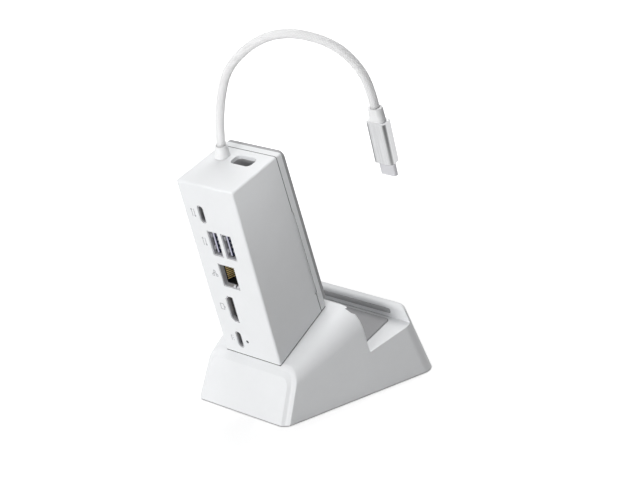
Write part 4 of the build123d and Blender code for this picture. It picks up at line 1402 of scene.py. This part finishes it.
@dataclass
class Underside:
    """Rubber feet with turned rings, and cross-recessed screws in the bottom plate."""

    edge: float = 0.0003
    ring_depth: float = 0.00018
    ring_count: int = 4
    # Rings of points on a foot's face, edge and top, and the size of those next to the poles
    face_points: int = 60
    edge_points: int = 6
    top_points: int = 4
    foot_pole: float = 0.04
    head_height: float = 0.0012
    shank_radius: float = 0.0011
    cross_reach: float = 0.0015
    cross_width: float = 0.00045
    cross_depth: float = 0.0007
    slot_wall: float = 0.0001
    slot_end: float = 0.0002
    # Points of a screw's head, the size of the rings next to its poles, and what counts as level with it
    head_points: int = 40
    head_around: int = 96
    head_pole: float = 0.03
    shank_pole: float = 0.1
    level: float = 0.00001

    def rubber_foot(self, node: str) -> bpy.types.Object:
        """Builds one foot: a disc whose underside has shallow rings, sin squared of the radius.

        Args:
            node: Name of the foot's solid.

        Returns:
            The foot.
        """
        low, high = (np.array(corner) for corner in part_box(node))
        radius = (high[0] - low[0]) / 2.0
        flat = radius - self.edge
        reach = np.linspace(self.foot_pole, 1.0, self.face_points) * flat
        under = columns(reach, self.ring_depth * np.sin(math.pi * self.ring_count * reach / flat) ** 2)
        quarter = quarter_angles(self.edge_points)
        edge = columns(flat + self.edge * np.sin(quarter), self.edge * (1.0 - np.cos(quarter)))
        top = columns(np.linspace(1.0, self.foot_pole, self.top_points) * radius, high[2] - low[2])
        middle = (low + high) / 2.0
        centre = np.array([[middle[0], middle[1], low[2]]])
        return turned(node + "_ringed", np.concatenate([under, edge, top]), centre)

    def screws(self, node: str) -> bpy.types.Object:
        """Builds the plate's screws: a flat head with a cross cut into it, on a plain shank.

        The cross is where either |x| or |y| is under half a width, inside a reach, with soft walls.

        Args:
            node: Name of the screws' solid: one screw in front, and one on either side behind it.

        Returns:
            The screws.
        """
        corners = mesh_corners(frame["nodes"][node].data)
        low, top = corners[:, 2].min(), np.ptp(corners[:, 2])
        heads = corners[np.abs(corners[:, 2] - low) < self.level]
        front = heads[:, 1] < heads[:, 1].mean()
        left = heads[:, 0] < 0.0
        groups = [heads[front], heads[~front & left], heads[~front & ~left]]
        centres = np.array([(group.min(axis=0) + group.max(axis=0)) / 2.0 for group in groups])
        radius = np.ptp(groups[0][:, 0]) / 2.0
        head, shank = self.head_height, self.shank_radius
        face = columns(np.linspace(self.head_pole, 1.0, self.head_points) * radius, 0.0)
        rest = np.array([[radius, head], [shank, head], [shank, top], [shank * self.shank_pole, top]])
        profile = np.concatenate([face, rest])
        angle = round_angles(self.head_around)
        reach = profile[:, :1]
        narrow = np.minimum(np.abs(reach * np.cos(angle)), np.abs(reach * np.sin(angle)))
        slot = np.clip((self.cross_width - narrow) / self.slot_wall, 0.0, 1.0)
        ring = np.clip((self.cross_reach - reach) / self.slot_end, 0.0, 1.0)
        sink = self.cross_depth * slot * ring
        sink[len(face):] = 0.0
        return turned("plate_screws_cross", profile, centres, sink, self.head_around)

    def build(self, finishes: Finishes) -> None:
        """Builds and dresses the feet and the screws.

        Args:
            finishes: All the finishes.
        """
        for node in sorted(name for name in frame["nodes"] if name.startswith("rubber_foot")):
            finishes.fit(self.rubber_foot(node), "foot_rubber", "foot_rubber", node)
        finishes.fit(self.screws("base_screws"), "screw_steel", "screw_steel", "base_screws")


# Studio


@dataclass(frozen=True)
class SoftLamp:
    """Square soft box aimed at the dock."""

    name: str
    place: Triple
    size: float
    power: float
    target: Triple = (0.0, 0.0, 0.06)
    spread: float = 180.0

    def hang(self) -> None:
        """Adds the lamp to the scene."""
        data = bpy.data.lights.new(self.name, "AREA")
        data.shape = "SQUARE"
        data.size = self.size
        data.energy = self.power
        data.spread = math.radians(self.spread)
        lamp = bpy.data.objects.new(self.name, data)
        aim = Vector(self.target) - Vector(self.place)
        turn = aim.to_track_quat("-Z", "Y").to_matrix().to_4x4()
        lamp.matrix_world = Matrix.Translation(self.place) @ turn
        bpy.context.scene.collection.objects.link(lamp)


@dataclass
class Studio:
    """White floor and background, soft lamps, and the photograph's camera."""

    effects: Effects
    camera_place: Triple = (0.4788, -0.529149, 0.364906)
    azimuth: float = 40.83
    elevation: float = 22.40
    roll: float = -3.89
    focal_pixels: float = 1682.0
    picture_width: float = 640.0
    sensor: float = 36.0
    nearest: float = 0.01
    floor_size: float = 3.0
    floor_colour: float = 0.70
    floor_roughness: float = 0.9
    # Glow of the floor under the dock, as the camera sees it, and where that fades into the background
    floor_seen: float = 0.50
    floor_fade: tuple[float, float] = (0.10, 0.40)
    # What metal mirrors: the lit floor, and past it, towards the camera, the dark room
    floor_mirrored: float = 0.45
    room_way: Triple = (0.66, -0.75, 0.0)
    room_start: tuple[float, float] = (0.12, 0.24)
    room_colour: float = 0.18
    # Painted contact shadow: the floor's glow is darkened where the dock shuts off its view
    floor_contact: SeamShade = SeamShade(reach=0.004, least=0.30, most=0.90, tone=0.0)
    # Light from the room: least from the dark way, most from the way across from it
    dark_way: Triple = (0.80, 0.55, 0.23)
    dark_light: float = 0.0
    bright_light: float = 0.79
    lamps: tuple[SoftLamp, ...] = (
        SoftLamp("key_box", (0.05, -1.42, 0.15), size=0.7, power=15.3),
        SoftLamp("top_box", (-0.15, 0.35, 1.15), size=0.8, power=7.0),
        SoftLamp("near_box", (0.07, -0.055, 0.15), size=0.04, power=0.0075, target=(0.017, -0.035, 0.09),
                 spread=120.0),
    )

    def camera(self) -> None:
        """Sets the camera from its place, bearing, elevation and roll."""
        data = bpy.data.cameras.new("photo_camera")
        data.sensor_width = self.sensor
        data.lens = self.focal_pixels / self.picture_width * self.sensor
        data.clip_start = self.nearest
        camera = bpy.data.objects.new("photo_camera", data)
        turn = (Matrix.Rotation(math.radians(self.azimuth), 4, "Z")
                @ Matrix.Rotation(math.radians(90.0 - self.elevation), 4, "X")
                @ Matrix.Rotation(math.radians(self.roll), 4, "Z"))
        camera.matrix_world = Matrix.Translation(self.camera_place) @ turn
        bpy.context.scene.collection.objects.link(camera)
        bpy.context.scene.camera = camera

    def background(self) -> None:
        """White to the camera and to reflections, and a softer light on the dock."""
        world = bpy.data.worlds.new("white_studio")
        world.use_nodes = True
        world.node_tree.nodes.clear()
        graph = Graph(world.node_tree)
        way = graph.add("ShaderNodeTexCoord").outputs["Generated"]
        facing = graph.along(way, self.dark_way)
        room = graph.ramp(facing, ends=(self.bright_light, self.dark_light), starts=(-1.0, 1.0))
        path = graph.add("ShaderNodeLightPath").outputs
        seen = graph.math("MAXIMUM", path["Is Camera Ray"], path["Is Glossy Ray"])
        seen = graph.math("MAXIMUM", seen, path["Is Transmission Ray"])
        light = graph.add("ShaderNodeBackground", Color=WHITE, Strength=graph.math("MAXIMUM", seen, room))
        graph.add("ShaderNodeOutputWorld", Surface=light.outputs["Background"])
        bpy.context.scene.world = world

    def floor(self) -> None:
        """White floor that takes the dock's soft shadow, with a painted contact shadow in its glow."""
        half = self.floor_size / 2.0
        corners = np.array([[-half, -half, 0.0], [half, -half, 0.0], [half, half, 0.0], [-half, half, 0.0]])
        floor = mesh_piece("studio_floor", corners, [np.array([[0, 1, 2, 3]])], sharp=30.0)
        surface = Surface("white_floor")
        path = surface.add("ShaderNodeLightPath").outputs
        mirrored = surface.math("MAXIMUM", path["Is Glossy Ray"], path["Is Transmission Ray"])
        place = surface.here()
        past = surface.along(place, self.room_way)
        room = surface.ramp(past, ends=(0.0, 1.0), starts=self.room_start, smooth=True)
        dark = surface.math("MULTIPLY", mirrored, room)
        lit = surface.math("SUBTRACT", mirrored, dark)
        reach = surface.add("ShaderNodeVectorMath", operation="LENGTH", Vector=place).outputs["Value"]
        fade = surface.ramp(reach, ends=(self.floor_seen, 1.0), starts=self.floor_fade, smooth=True)
        seen = surface.math("MULTIPLY", path["Is Camera Ray"], fade)
        surface.feed(
            Base_Color=surface.shade(dark, (self.floor_colour,) * 3, (self.room_colour,) * 3),
            Roughness=self.floor_roughness,
            Specular_IOR_Level=0.0,
            # Painted contact shadow in the glow under and next to the dock
            Emission_Color=self.floor_contact.darken(surface, self.effects, WHITE),
            Emission_Strength=surface.math("ADD", seen, surface.math("MULTIPLY", lit, self.floor_mirrored)),
        )
        floor.data.materials.append(surface.material)

    def set_up(self) -> None:
        """Sets up the camera, background, floor and lamps."""
        bpy.context.scene.view_settings.view_transform = "Standard"
        self.camera()
        self.background()
        self.floor()
        for lamp in self.lamps:
            lamp.hang()


def main() -> None:
    """Sets up the studio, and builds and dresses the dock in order."""
    logging.basicConfig(level=logging.INFO, format="%(name)s %(message)s")
    effects = {effect.tree.name: effect for effect in (moulded_grain(), drawn_lines(), seam_depth())}
    Studio(effects).set_up()
    finishes = Finishes(effects)
    for node in frame["nodes"].values():
        finishes.dress_node(node)
    hub = HubFrame.from_port(FRAME_PORT, FRAME_PORT_RISE)
    Lead(hub).build(finishes)
    SoftPads(hub).build(finishes)
    PortFittings(hub, finishes).build()
    Underside().build(finishes)


if __name__ == "__main__":
    main()
